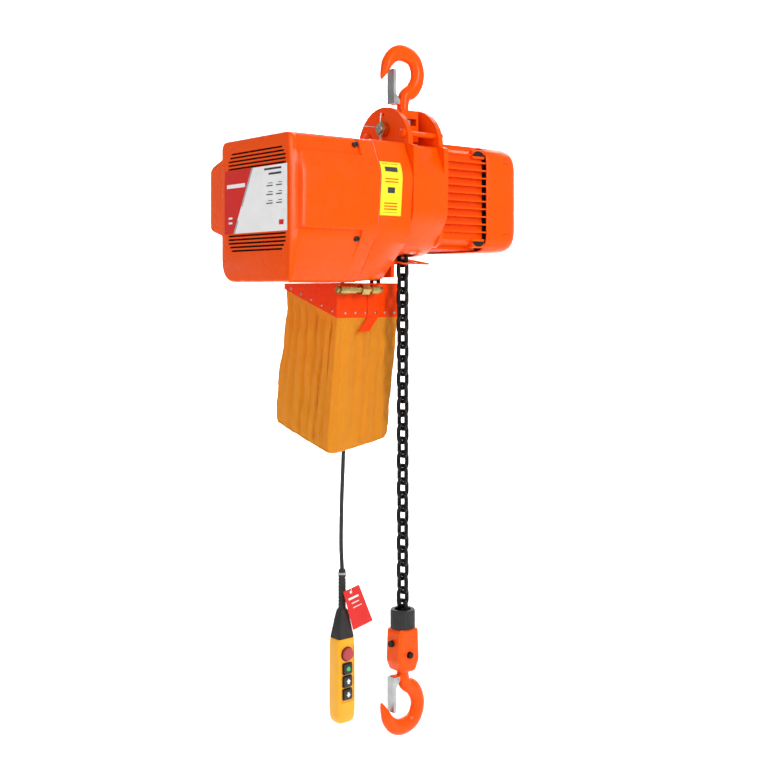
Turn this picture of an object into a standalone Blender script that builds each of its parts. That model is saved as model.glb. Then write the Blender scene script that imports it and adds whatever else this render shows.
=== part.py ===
"""Electric chain hoist, hook suspended, single fall of chain, with a bag and a pendant.

Metres, +Z up. X runs along the motor axis from the control cover to the fan, +Y to the back.
The origin is the saddle of the top hook, and the load chain hangs on the Z axis.
"""

import math

import bmesh
import bpy
from mathutils import Matrix, Vector

GAP = 0.0003
SAFE = 0.0006

# chain and its pocket wheel
LINK_PITCH = 0.0296
WIRE_R = 0.0047
LINK_HALF_WIDTH = 0.0117
LINK_HALF_LENGTH = 0.0192
LINK_END_GAP = 0.0012
SHEAVE_POCKETS = 5
SHEAVE_STEP = math.pi / SHEAVE_POCKETS
SHEAVE_R = LINK_PITCH / 2 / math.sin(SHEAVE_STEP / 2)
LOAD_LINKS = 30
RIDING_LINKS = 3
SLACK_LINKS = 8

# shaft line through the sheave and the motor
AXIS_Y = SHEAVE_R
AXIS_Z = -0.291
COUNTER_DROP = 0.076

# stations along X
COVER_END_X = -0.350
SEAM_X = -0.136
PLATE_X = 0.043
PLATE_HALF = 0.006
FLANGE_END_X = 0.0597
MOTOR_END_X = 0.186
FAN_END_X = 0.288

# heights of the body
BODY_TOP_Z = -0.185
BODY_BOTTOM_Z = -0.479
BACK_Y = 0.171
WALL = 0.003

# load hook and block
CUP_TOP_Z = -1.190
CUP_BOTTOM_Z = -1.230
BLOCK_BOTTOM_Z = -1.323
LOAD_SADDLE_Z = -1.427
HOOK_BOWL_R = 0.024
HOOK_BOWL_X = -0.005
HOOK_THICK = 0.013
SHANK_R = 0.013
STEM_R = 0.010

# gears
MODULE = 0.004
PINION_TEETH = 11
GEAR_TEETH = 27
ADDENDUM = 0.7 * MODULE
DEDENDUM = 1.05 * MODULE
TIP_HALF = 0.0015
ROOT_HALF = 0.0036

# chain bag
BAG_X0 = -0.150
BAG_X1 = 0.021
BAG_Y0 = 0.0375
BAG_Y1 = 0.2335
BAG_TOP_Z = -0.492
BAG_WALL = 0.0025
BAG_STRAIGHT = 0.20
HOLDER_WALL = 0.0015
HOLDER_TOP_Z = -0.4815

# pendant
PENDANT_X = 0.033
GLAND_X = 0.022
PENDANT_Y = 0.260
CABLE_R = 0.005
BOOT_TOP_Z = -1.163
CASE_TOP_Z = -1.317
CASE_BOTTOM_Z = -1.517
CASE_HALF_X = 0.026
CASE_HALF_Y = 0.021
CABLE_ROUTE = [
    (GLAND_X, 0.2004, -0.3000),
    (0.0225, 0.2200, -0.3005),
    (0.0260, 0.2460, -0.3200),
    (0.0300, 0.2560, -0.3700),
    (0.036, 0.2620, -0.480),
    (0.039, 0.2640, -0.650),
    (0.042, 0.2640, -0.820),
    (0.034, 0.2620, -0.980),
    (0.030, 0.2600, -1.090),
    (PENDANT_X, PENDANT_Y, -1.1560),
]
CABLE_STEPS = 5

MATERIALS = {
    "orange_paint": ((1.0, 0.13, 0.005), 0.25, 0.0),
    "dark_orange": ((0.85, 0.07, 0.005), 0.4, 0.0),
    "black_steel": ((0.012, 0.012, 0.013), 0.35, 0.8),
    "bright_steel": ((0.55, 0.56, 0.56), 0.3, 1.0),
    "zinc": ((0.45, 0.46, 0.46), 0.4, 1.0),
    "yellow_zinc": ((0.55, 0.43, 0.14), 0.3, 1.0),
    "black_rubber": ((0.012, 0.012, 0.012), 0.7, 0.0),
    "black_plastic": ((0.015, 0.015, 0.016), 0.5, 0.0),
    "yellow_plastic": ((0.95, 0.43, 0.015), 0.4, 0.0),
    "red_plastic": ((0.6, 0.02, 0.015), 0.4, 0.0),
    "green_plastic": ((0.01, 0.35, 0.08), 0.4, 0.0),
    "label_film": ((0.9, 0.9, 0.9), 0.3, 0.0),
    "tag_card": ((0.8, 0.02, 0.015), 0.5, 0.0),
    "bag_cloth": ((0.95, 0.36, 0.02), 0.9, 0.0),
    "cast_iron": ((0.12, 0.12, 0.12), 0.6, 0.6),
    "copper_winding": ((0.55, 0.2, 0.06), 0.4, 0.8),
}


def clear_scene():
    for old in list(bpy.data.objects):
        bpy.data.objects.remove(old)


def material(name):
    made = bpy.data.materials.get(name)
    if made is None:
        made = bpy.data.materials.new(name)
        made.use_nodes = True
        colour, roughness, metallic = MATERIALS[name]
        shader = made.node_tree.nodes["Principled BSDF"]
        shader.inputs["Base Color"].default_value = (*colour, 1.0)
        shader.inputs["Roughness"].default_value = roughness
        shader.inputs["Metallic"].default_value = metallic
    return made


def add(name, bm, look, origin=(0.0, 0.0, 0.0), smooth_deg=35):
    """Turn a bmesh in world coordinates into an object whose origin is at the given point."""
    bmesh.ops.recalc_face_normals(bm, faces=bm.faces)
    bmesh.ops.translate(bm, verts=bm.verts, vec=-Vector(origin))
    mesh = bpy.data.meshes.new(name)
    bm.to_mesh(mesh)
    bm.free()
    obj = bpy.data.objects.new(name, mesh)
    obj.location = origin
    bpy.context.scene.collection.objects.link(obj)
    mesh.materials.append(material(look))
    mesh.shade_smooth()
    mesh.set_sharp_from_angle(angle=math.radians(smooth_deg))
    return obj


def combine(obj, operation, bm):
    """Add a Boolean with a hidden helper made from a bmesh in world coordinates."""
    helper = add(f"{obj.name}_{operation.lower()}_{len(obj.modifiers)}", bm, "cast_iron")
    helper.hide_render = True
    helper.display_type = "WIRE"
    modifier = obj.modifiers.new(operation.title(), "BOOLEAN")
    modifier.operation = operation
    modifier.solver = "EXACT"
    modifier.object = helper


def loft(rings, bm=None, closed=False):
    """Skin a list of rings with the same number of points, capped at both ends or joined up."""
    bm = bm or bmesh.new()
    rows = [[bm.verts.new(point) for point in ring] for ring in rings]
    pairs = list(zip(rows, rows[1:]))
    if closed:
        pairs.append((rows[-1], rows[0]))
    else:
        bm.faces.new(rows[0])
        bm.faces.new(rows[-1])
    for low, high in pairs:
        for i in range(len(low)):
            j = (i + 1) % len(low)
            bm.faces.new((low[i], low[j], high[j], high[i]))
    return bm


def circle(centre, u, v, ru, rv=None, sides=24, turn=0.0):
    rv = ru if rv is None else rv
    points = []
    for i in range(sides):
        a = turn + 2 * math.pi * i / sides
        points.append(Vector(centre) + Vector(u) * (ru * math.cos(a)) + Vector(v) * (rv * math.sin(a)))
    return points


AXES = {
    "X": ((1, 0, 0), (0, 1, 0), (0, 0, 1)),
    "Y": ((0, 1, 0), (0, 0, 1), (1, 0, 0)),
    "Z": ((0, 0, 1), (1, 0, 0), (0, 1, 0)),
}


def turned(axis, centre, profile, sides=24, closed=False, bm=None, turn=0.0):
    """A turned piece: profile is a list of (distance along the axis, radius)."""
    along, u, v = AXES[axis]
    rings = [
        circle(Vector(centre) + Vector(along) * at, u, v, radius, sides=sides, turn=turn)
        for at, radius in profile
    ]
    return loft(rings, bm, closed)


def rod(axis, centre, start, end, radius, sides=24, bm=None, turn=0.0):
    return turned(axis, centre, [(start, radius), (end, radius)], sides, bm=bm, turn=turn)


def sleeve(axis, centre, start, end, inner, outer, sides=24, bm=None):
    profile = [(start, outer), (end, outer), (end, inner), (start, inner)]
    return turned(axis, centre, profile, sides, closed=True, bm=bm)


def hex_nut(axis, centre, start, end, hole, corner, bm=None):
    """A hexagon with a round hole; both loops have twelve points."""
    along, u, v = AXES[axis]
    rings = []
    for at, outside in ((start, True), (end, True), (end, False), (start, False)):
        middle = Vector(centre) + Vector(along) * at
        loop = circle(middle, u, v, corner if outside else hole / math.cos(math.pi / 12), sides=12)
        if outside:
            flats = math.cos(math.pi / 6)
            loop = [p if i % 2 == 0 else middle + (p - middle) * flats for i, p in enumerate(loop)]
        rings.append(loop)
    return loft(rings, bm, closed=True)


def block(x0, x1, y0, y1, z0, z1, bm=None):
    rings = [[(x0, y0, z), (x1, y0, z), (x1, y1, z), (x0, y1, z)] for z in (z0, z1)]
    return loft(rings, bm)


def rounded(corners, steps=3):
    """A closed outline from corners (a, b, radius), each turned into an arc of steps + 1 points."""
    outline = []
    for i, (a, b, radius) in enumerate(corners):
        here = Vector((a, b))
        back = Vector(corners[i - 1][:2]) - here
        ahead = Vector(corners[(i + 1) % len(corners)][:2]) - here
        half = back.angle(ahead) / 2
        reach = min(radius / math.tan(half), 0.49 * back.length, 0.49 * ahead.length)
        start = here + back.normalized() * reach
        end = here + ahead.normalized() * reach
        for k in range(steps + 1):
            t = k / steps
            outline.append(start * (1 - t) ** 2 + here * 2 * t * (1 - t) + end * t**2)
    return outline


def rectangle(a0, a1, b0, b1, radius, steps=3):
    return rounded([(a0, b0, radius), (a1, b0, radius), (a1, b1, radius), (a0, b1, radius)], steps)


def inset(outline, amount):
    """Shrink an outline towards its middle by roughly the amount on each side."""
    a = [p.x for p in outline]
    b = [p.y for p in outline]
    mid = Vector(((min(a) + max(a)) / 2, (min(b) + max(b)) / 2))
    fa = 1 - 2 * amount / (max(a) - min(a))
    fb = 1 - 2 * amount / (max(b) - min(b))
    return [Vector((mid.x + (p.x - mid.x) * fa, mid.y + (p.y - mid.y) * fb)) for p in outline]


def at_x(x, outline):
    return [(x, p.x, p.y) for p in outline]


def at_y(y, outline):
    return [(p.x, y, p.y) for p in outline]


def at_z(z, outline):
    return [(p.x, p.y, z) for p in outline]


def bent_bar(path, widths, across, depth, sides=8):
    """A tapering bar along a path in the plane square to `across`, with oval sections."""
    across = Vector(across)
    rings = []
    for i, point in enumerate(path):
        before = Vector(path[max(i - 1, 0)])
        after = Vector(path[min(i + 1, len(path) - 1)])
        out = across.cross((after - before).normalized())
        rings.append(circle(point, out, across, widths[i], min(depth, widths[i]), sides, math.pi / sides))
    return loft(rings)


# ---------------------------------------------------------------- hooks


def hook_path(saddle_z, up):
    """Centre line of a hook. up is +1 for a load hook and -1 for a hook turned upside down."""
    middle_z = saddle_z + up * HOOK_BOWL_R
    shape = [
        (0.005, 0.090, SHANK_R),
        (0.005, 0.072, SHANK_R),
        (0.011, 0.050, 0.0150),
        (0.032, 0.036, 0.0175),
        (0.0460, 0.012, 0.0170),
        (0.0455, -0.014, 0.0170),
        (0.0310, -0.035, 0.0180),
        (0.004, -0.0425, 0.0185),
        (-0.019, -0.037, 0.0170),
        (-0.036, -0.021, 0.0140),
        (-0.045, -0.003, 0.0100),
        (-0.0515, 0.011, 0.0060),
        (-0.0545, 0.018, 0.0032),
    ]
    path = [(HOOK_BOWL_X + x, 0.0, middle_z + up * z) for x, z, _ in shape]
    return path, [width for _, _, width in shape]


def hook(name, saddle_z, up, stem_to_z):
    path, widths = hook_path(saddle_z, up)
    obj = add(name, bent_bar(path, widths, (0, 1, 0), HOOK_THICK, 10), "orange_paint")
    shank_z = path[0][2]
    stem = [(shank_z - up * 0.010, SHANK_R - 0.001), (shank_z + up * 0.0005, SHANK_R - 0.001)]
    stem += [(shank_z + up * 0.0006, STEM_R), (stem_to_z, STEM_R)]
    combine(obj, "UNION", turned("Z", (0, 0, 0), stem, 16))
    lug_z = latch_pivot_z(saddle_z, up)
    combine(obj, "UNION", block(LATCH_PIVOT_X - 0.006, -0.006, -0.0075, 0.0075, lug_z - 0.006, lug_z + 0.006))
    combine(obj, "DIFFERENCE", rod("Y", (LATCH_PIVOT_X, 0, lug_z), -0.03, 0.03, 0.0028, 12))


LATCH_PIVOT_X = -0.0215
LATCH_WEB_X = -0.0345
LATCH_HALF_Y = 0.0110
LATCH_SHEET = 0.0020
LATCH_LENGTH = 0.070


def latch_pivot_z(saddle_z, up):
    return saddle_z + up * (HOOK_BOWL_R + 0.066)


def latch(name, saddle_z, up):
    """Sheet channel: a web facing the throat's mouth, two flanges and the pin they turn on."""
    pivot_z = latch_pivot_z(saddle_z, up)
    free_z = pivot_z - up * LATCH_LENGTH
    top_z = pivot_z + up * 0.005
    side = [
        (LATCH_WEB_X, top_z),
        (LATCH_PIVOT_X + 0.004, top_z),
        (LATCH_PIVOT_X + 0.004, pivot_z - up * 0.004),
        (LATCH_WEB_X + 0.007, pivot_z - up * 0.018),
        (LATCH_WEB_X + 0.007, free_z),
        (LATCH_WEB_X, free_z),
    ]
    inner = [
        (LATCH_WEB_X + LATCH_SHEET, top_z + up * 0.01),
        (0.0, top_z + up * 0.01),
        (0.0, free_z - up * 0.01),
        (LATCH_WEB_X + LATCH_SHEET, free_z - up * 0.01),
    ]
    outer_rings = [[(x, y, z) for x, z in side] for y in (-LATCH_HALF_Y, LATCH_HALF_Y)]
    hollow_y = LATCH_HALF_Y - LATCH_SHEET
    inner_rings = [[(x, y, z) for x, z in inner] for y in (-hollow_y, hollow_y)]
    pivot = (LATCH_PIVOT_X, 0.0, pivot_z)
    obj = add(name, loft(outer_rings), "zinc", pivot)
    combine(obj, "DIFFERENCE", loft(inner_rings))
    combine(obj, "UNION", rod("Y", pivot, -LATCH_HALF_Y - 0.0015, LATCH_HALF_Y + 0.0015, 0.0022, 12))


# ------------------------------------------------------------ suspension

YOKE_HALF = 0.0240
YOKE_TOP_Z = -0.1085
YOKE_BOTTOM_Z = -0.176
PIN_Z = -0.152
PIN_R = 0.0100
TIE_Y = 0.060
TIE_Z = -0.165
LUG_CENTRE_Y = 0.0085
LUG_CENTRE_Z = -0.189
LUG_R = 0.0860


def top_suspension():
    hook("top_hook", 0.0, -1, -0.1395)
    latch("top_hook_latch", 0.0, -1)
    nut = hex_nut("Z", (0, 0, 0), -0.1385, -0.1275, STEM_R + GAP, 0.0175)
    add("top_hook_nut", nut, "zinc")
    yoke = block(-YOKE_HALF, YOKE_HALF, -YOKE_HALF, YOKE_HALF, YOKE_BOTTOM_Z, YOKE_TOP_Z)
    obj = add("top_yoke", yoke, "orange_paint")
    combine(obj, "DIFFERENCE", block(-0.0185, 0.0185, -0.03, 0.03, -0.1415, -0.1265))
    combine(obj, "DIFFERENCE", rod("Z", (0, 0, 0), -0.130, -0.10, SHANK_R + 0.0004, 20))
    combine(obj, "DIFFERENCE", rod("X", (0, 0, PIN_Z), -0.05, 0.05, PIN_R + GAP, 20))


def suspension_pin():
    centre = (0, 0, PIN_Z)
    profile = [(-0.068, PIN_R - 0.001), (-0.066, PIN_R), (0.0495, PIN_R), (0.0496, 0.015), (0.057, 0.015)]
    pin = add("suspension_pin", turned("X", centre, profile, 20), "bright_steel")
    hole_x = -0.0625
    combine(pin, "DIFFERENCE", rod("Z", (hole_x, 0, PIN_Z), -0.02, 0.02, 0.0022, 8))
    nut = add("castle_nut", hex_nut("X", centre, -0.0645, -0.0500, PIN_R + GAP, 0.0165), "yellow_zinc")
    combine(nut, "DIFFERENCE", rod("Z", (hole_x, 0, PIN_Z), -0.03, 0.03, 0.0026, 8))
    add("split_pin", rod("Z", (hole_x, 0, PIN_Z), -0.024, 0.040, 0.0017, 8), "bright_steel")


def tie_bolts():
    profile = [(-0.0555, 0.006), (-0.0535, 0.010), (-0.0494, 0.010), (-0.0493, 0.006)]
    profile += [(0.0493, 0.006), (0.0494, 0.0095), (0.0555, 0.0095)]
    for name, side in (("tie_bolt_front", -1), ("tie_bolt_back", 1)):
        add(name, turned("X", (0, side * TIE_Y, TIE_Z), profile, 12), "orange_paint")


def plate_outline(steps=14):
    """Lug arc on top, then the body's section below, level with the castings at the front."""
    outline = []
    for i in range(steps + 1):
        a = math.radians(180 * i / steps)
        outline.append(Vector((LUG_CENTRE_Y + LUG_R * math.cos(a), LUG_CENTRE_Z + LUG_R * math.sin(a))))
    body = [(-0.093, -0.192, 0.006), (-0.0935, -0.255, 0.04), (-0.0915, -0.345, 0.07), (-0.030, -0.4240, 0.08)]
    body += [(0.125, -0.4240, 0.08), (0.168, -0.360, 0.07), (0.168, -0.192, 0.03)]
    return outline + rounded(body, 4)


def lug_plate(name, middle_x):
    x0, x1 = middle_x - PLATE_HALF, middle_x + PLATE_HALF
    outline = plate_outline()
    obj = add(name, loft([at_x(x0, outline), at_x(x1, outline)]), "orange_paint")
    holes = bmesh.new()
    for y, z, radius, sides in (
        (0, PIN_Z, PIN_R + GAP, 20),
        (TIE_Y, TIE_Z, 0.0063, 12),
        (-TIE_Y, TIE_Z, 0.0063, 12),
        (0.007, -0.119, 0.003, 12),
        (AXIS_Y, AXIS_Z, 0.030, 24),
    ):
        rod("X", (0, y, z), x0 - 0.01, x1 + 0.01, radius, sides, bm=holes)
    combine(obj, "DIFFERENCE", holes)


# ------------------------------------------------------------------ body


SLOTS = 5
SLOT_TOPS = (-0.2160, -0.3855)
SLOT_PITCH = 0.0077
PLATE_Y0, PLATE_Y1 = -0.066, 0.162
PLATE_TOP_Z, PLATE_LOW_Z = -0.2500, -0.3805


def cover_corners(end):
    """Corners of the control cover's section: the end face, or the section at the seam."""
    if end:
        front = [(-0.070, -0.187, 0.016), (-0.076, -0.260, 0.06)]
        front += [(-0.076, -0.400, 0.06), (-0.072, -0.481, 0.014)]
    else:
        front = [(-0.064, -0.187, 0.012), (-0.093, -0.255, 0.06)]
        front += [(-0.083, -0.378, 0.10), (-0.012, -0.481, 0.02)]
    back = BACK_Y + 0.006 if end else BACK_Y
    low = [(back, -0.481, 0.095), (back, -0.384, 0.006)]
    bulge = [(0.224, -0.370, 0.014), (0.224, -0.238, 0.018)]
    high = [(back, -0.222, 0.006), (back, -0.187, 0.035)]
    return front + low + bulge + high


def blend(first, second, share):
    return [tuple(a + (b - a) * share for a, b in zip(p, q)) for p, q in zip(first, second)]


def control_cover():
    end, seam = cover_corners(True), cover_corners(False)
    middle = blend(end, seam, 0.45)
    middle[1] = (-0.090, -0.262, 0.07)
    middle[2] = (-0.088, -0.385, 0.07)
    outer = [
        (COVER_END_X, inset(rounded(end), 0.005)),
        (COVER_END_X + 0.005, rounded(end)),
        (COVER_END_X + 0.022, rounded(middle)),
        (-0.240, rounded(blend(middle, seam, 0.5))),
        (SEAM_X - GAP, rounded(seam)),
    ]
    rings = [at_x(x, outline) for x, outline in outer]
    for x, outline in outer[::-1]:
        inner_x = x if x > -0.2 else x + WALL
        rings.append(at_x(inner_x, inset(outline, WALL)))
    cover = add("control_cover", loft(rings), "orange_paint")
    slots = bmesh.new()
    for i in range(SLOTS):
        for first_z in SLOT_TOPS:
            z = first_z - i * SLOT_PITCH
            block(COVER_END_X - 0.01, COVER_END_X + 0.02, -0.060, 0.150, z - 0.0016, z + 0.0016, bm=slots)
    combine(cover, "DIFFERENCE", slots)
    plate = block(COVER_END_X - 0.0012, COVER_END_X - GAP, PLATE_Y0, PLATE_Y1, PLATE_LOW_Z, PLATE_TOP_Z)
    add("rating_plate", plate, "label_film")


def gear_case():
    corners = [
        (-0.064, BODY_TOP_Z, 0.012),
        (-0.093, -0.255, 0.06),
        (-0.083, -0.378, 0.10),
        (-0.012, BODY_BOTTOM_Z, 0.02),
        (BACK_Y, BODY_BOTTOM_Z, 0.060),
        (BACK_Y, BODY_TOP_Z, 0.045),
    ]
    far = list(corners)
    far[2] = (-0.083, -0.385, 0.06)
    far[3] = (0.010, -0.474, 0.02)
    end_x = -PLATE_X - PLATE_HALF - GAP
    outer = [rounded(corners, 4), rounded(far, 4)]
    rings = [
        at_x(SEAM_X, outer[0]),
        at_x(end_x, outer[1]),
    ]
    case = add("gear_case", loft(rings), "orange_paint")
    hollow = [inset(outer[0], 0.006), inset(outer[1], 0.008)]
    cavity = loft([at_x(SEAM_X - 0.01, hollow[0]), at_x(end_x - 0.010, hollow[1])])
    combine(case, "DIFFERENCE", cavity)
    bores = rod("X", (0, AXIS_Y, AXIS_Z), end_x - 0.03, end_x + 0.01, 0.0225, 24)
    rod("X", (0, AXIS_Y, AXIS_Z - COUNTER_DROP), end_x - 0.03, end_x + 0.01, 0.0095, 16, bm=bores)
    combine(case, "DIFFERENCE", bores)


def sheave_housing():
    half = PLATE_X - PLATE_HALF - GAP
    corners = [(-0.066, -0.188, 0.015), (-0.093, -0.250, 0.06), (-0.091, -0.345, 0.07), (-0.030, -0.4235, 0.08)]
    corners += [(0.125, -0.4235, 0.08), (0.168, -0.360, 0.07), (0.168, -0.188, 0.04)]
    outline = rounded(corners, 4)
    housing = add("sheave_housing", loft([at_x(-half, outline), at_x(half, outline)]), "orange_paint")
    combine(housing, "DIFFERENCE", rod("X", (0, AXIS_Y, AXIS_Z), -0.05, 0.05, 0.076, 32))
    ways = block(-0.021, 0.021, -0.021, 0.021, -0.45, AXIS_Z)
    block(-0.021, 0.021, 0.0766, 0.1186, -0.45, AXIS_Z, bm=ways)
    combine(housing, "DIFFERENCE", ways)


def control_parts():
    plate = block(SEAM_X + 0.0020, SEAM_X + 0.0060, -0.020, 0.150, -0.430, -0.200)
    obj = add("mounting_plate", plate, "zinc")
    bores = rod("X", (0, AXIS_Y, AXIS_Z), SEAM_X - 0.01, SEAM_X + 0.02, 0.0125, 20)
    rod("X", (0, AXIS_Y, AXIS_Z - COUNTER_DROP), SEAM_X - 0.01, SEAM_X + 0.02, 0.0095, 16, bm=bores)
    combine(obj, "DIFFERENCE", bores)
    box = block(-0.215, -0.142, -0.040, 0.030, -0.330, -0.235)
    contactor = add("contactor", box, "black_plastic")
    combine(contactor, "UNION", block(-0.228, -0.210, -0.028, 0.018, -0.315, -0.250))
    add("transformer", block(-0.205, -0.142, 0.075, 0.140, -0.340, -0.250), "copper_winding")


# ----------------------------------------------------------------- motor

FIN_TIP = 0.117
FIN_ROOT = 0.103
FINS_PER_SIDE = 12
FIN_HALF = 0.0016
MOTOR_BORE_R = 0.092


def finned_outline():
    """Fins square to each side of a rounded square barrel."""
    pitch = 2 * 0.094 / (FINS_PER_SIDE - 1)
    outline = []
    for turn in range(4):
        a = turn * math.pi / 2
        out = Vector((math.cos(a), math.sin(a)))
        along = Vector((-math.sin(a), math.cos(a)))
        for i in range(FINS_PER_SIDE):
            s = -0.094 + i * pitch
            tip = FIN_TIP - max(0.0, abs(s) - 0.075) * 0.55
            for side, reach in ((-1, FIN_ROOT), (-1, tip), (1, tip), (1, FIN_ROOT)):
                outline.append(out * reach + along * (s + side * FIN_HALF))
    centre = Vector((AXIS_Y, AXIS_Z))
    return [centre + point for point in outline]


def motor():
    axis = (0, AXIS_Y, AXIS_Z)
    plate_end = PLATE_X + PLATE_HALF + GAP
    square = rectangle(AXIS_Y - 0.115, AXIS_Y + 0.115, AXIS_Z - 0.115, AXIS_Z + 0.115, 0.040, 4)
    flange = add("motor_flange", loft([at_x(plate_end, square), at_x(FLANGE_END_X, square)]), "orange_paint")
    combine(flange, "DIFFERENCE", rod("X", axis, 0.03, 0.08, 0.026, 24))
    outline = finned_outline()
    housing = loft([at_x(FLANGE_END_X + GAP, outline), at_x(MOTOR_END_X - GAP, outline)])
    housing = add("motor_housing", housing, "orange_paint")
    combine(housing, "DIFFERENCE", rod("X", axis, 0.05, 0.20, MOTOR_BORE_R, 32))
    stator = [(0.0625, 0.076), (0.070, 0.078), (0.0701, 0.0915)]
    stator += [(0.1419, 0.0915), (0.142, 0.078), (0.1495, 0.076)]
    stator += [(0.1495, 0.052), (0.142, 0.047), (0.070, 0.047), (0.0625, 0.052)]
    add("stator", turned("X", axis, stator, 20, True), "cast_iron")
    shaft = [(-0.1255, 0.0105), (-0.1240, 0.0115), (0.0720, 0.0115), (0.0721, 0.0462)]
    shaft += [(0.1400, 0.0462), (0.1401, 0.0115), (0.2150, 0.0115)]
    add("rotor", turned("X", axis, shaft, 24), "bright_steel", axis)
    add("brake_coil", sleeve("X", axis, 0.1650, 0.1820, 0.014, 0.0915, 24), "cast_iron")
    armature = sleeve("X", axis, 0.1585, 0.1635, 0.014, 0.075, 24)
    add("brake_armature", armature, "cast_iron", (0.161, AXIS_Y, AXIS_Z))
    fan_hub = sleeve("X", axis, 0.196, 0.212, 0.0116 + GAP, 0.024, 20)
    fan = add("cooling_fan", fan_hub, "black_plastic", axis)
    combine(fan, "UNION", sleeve("X", axis, 0.196, 0.1985, 0.022, 0.085, 20))
    blades = bmesh.new()
    for i in range(6):
        a = 2 * math.pi * i / 6
        out = Vector((0, math.cos(a), math.sin(a)))
        along = Vector((0, -math.sin(a), math.cos(a))) * 0.0015
        foot, tip = Vector(axis) + out * 0.022, Vector(axis) + out * 0.084
        rings = []
        for x in (0.1975, 0.2105):
            shift = Vector((x, 0, 0))
            rings.append([shift + foot - along, shift + tip - along, shift + tip + along, shift + foot + along])
        loft(rings, blades)
    combine(fan, "UNION", blades)


def fan_cover():
    middle_z = AXIS_Z - 0.003

    def square(half, radius):
        return rectangle(AXIS_Y - half, AXIS_Y + half, middle_z - half, middle_z + half, radius, 4)

    outer = [(FAN_END_X, 0.098, 0.045), (0.280, 0.113, 0.042), (0.262, 0.1185, 0.040), (0.1865, 0.1185, 0.040)]
    rings = [at_x(x, square(half, radius)) for x, half, radius in outer]
    for x, half, radius in outer[::-1]:
        rings.append(at_x(x if x < 0.2 else x - WALL, square(half - WALL, radius)))
    cover = add("fan_cover", loft(rings), "orange_paint")
    slots = bmesh.new()
    for i in range(7):
        z = AXIS_Z + (i - 3) * 0.017
        half = math.sqrt(0.062**2 - (z - AXIS_Z) ** 2)
        block(0.27, 0.30, AXIS_Y - half, AXIS_Y + half, z - 0.003, z + 0.003, bm=slots)
    combine(cover, "DIFFERENCE", slots)


# ----------------------------------------------------------------- gears


def gear_outline(teeth, turn):
    """Short straight-flanked teeth with running clearance all round."""
    pitch_r = teeth * MODULE / 2
    step = 2 * math.pi / teeth
    tip_r, root_r = pitch_r + ADDENDUM, pitch_r - DEDENDUM
    outline = []
    for i in range(teeth):
        middle = turn + i * step
        for radius, half in ((root_r, -ROOT_HALF), (tip_r, -TIP_HALF), (tip_r, TIP_HALF), (root_r, ROOT_HALF)):
            outline.append((radius, middle + half / radius))
    return [Vector((r * math.cos(a), r * math.sin(a))) for r, a in outline]


def gear_body(x0, x1, centre_z, teeth, turn):
    outline = [Vector((AXIS_Y + p.x, centre_z + p.y)) for p in gear_outline(teeth, turn)]
    return loft([at_x(x0, outline), at_x(x1, outline)])


def gears():
    axis = (0, AXIS_Y, AXIS_Z)
    low = (0, AXIS_Y, AXIS_Z - COUNTER_DROP)
    down = -math.pi / 2
    gear_gap = math.pi / GEAR_TEETH
    pinion = add("input_pinion", gear_body(-0.104, -0.088, AXIS_Z, PINION_TEETH, down), "bright_steel", axis)
    combine(pinion, "DIFFERENCE", rod("X", axis, -0.12, -0.07, 0.0115 + GAP, 24))
    wheel = gear_body(-0.103, -0.089, low[2], GEAR_TEETH, -down + gear_gap)
    counter = add("countershaft", wheel, "bright_steel", low)
    combine(counter, "UNION", gear_body(-0.090, -0.0645, low[2], PINION_TEETH, -down))
    combine(counter, "UNION", rod("X", low, -0.1325, -0.0505, 0.0090, 20))
    big = gear_body(-0.080, -0.0655, AXIS_Z, GEAR_TEETH, down + gear_gap)
    big = add("sheave_gear", big, "bright_steel", axis)
    combine(big, "DIFFERENCE", rod("X", axis, -0.12, -0.05, 0.0220 + GAP, 24))


DISC_R = 0.0405
TOOTH_TIP_R = 0.0468


def load_sheave():
    """Pocket wheel: two toothed discs beside a groove, on a hollow shaft."""
    axis = (0, AXIS_Y, AXIS_Z)
    hub = sleeve("X", axis, -0.0820, 0.0480, 0.0130, 0.0220, 24)
    wheel = add("load_sheave", hub, "cast_iron", axis)
    combine(wheel, "UNION", sleeve("X", axis, -0.0190, 0.0190, 0.0200, 0.0285, 24))
    for side in (-1, 1):
        outline = []
        for i in range(SHEAVE_POCKETS):
            middle = math.radians(54) + 2 * math.pi * i / SHEAVE_POCKETS
            for radius, half_deg in ((DISC_R, 8.0), (TOOTH_TIP_R, 4.0), (TOOTH_TIP_R, -4.0), (DISC_R, -8.0)):
                a = middle - math.radians(half_deg)
                outline.append((radius, a))
            for part in range(1, 4):
                outline.append((DISC_R, middle + math.radians(8 + 14 * part)))
        points = [Vector((AXIS_Y + r * math.cos(a), AXIS_Z + r * math.sin(a))) for r, a in outline]
        disc = loft([at_x(side * 0.0068, points), at_x(side * 0.0185, points)])
        combine(wheel, "UNION", disc)
    combine(wheel, "DIFFERENCE", rod("X", axis, -0.03, 0.03, 0.0130, 24))
    for name, x in (("gear_side_bearing", -PLATE_X), ("motor_side_bearing", PLATE_X)):
        ring = sleeve("X", axis, x - 0.0055, x + 0.0055, 0.0220 + GAP, 0.0300 - GAP, 24)
        add(name, ring, "bright_steel")


# ----------------------------------------------------------------- chain


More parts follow.
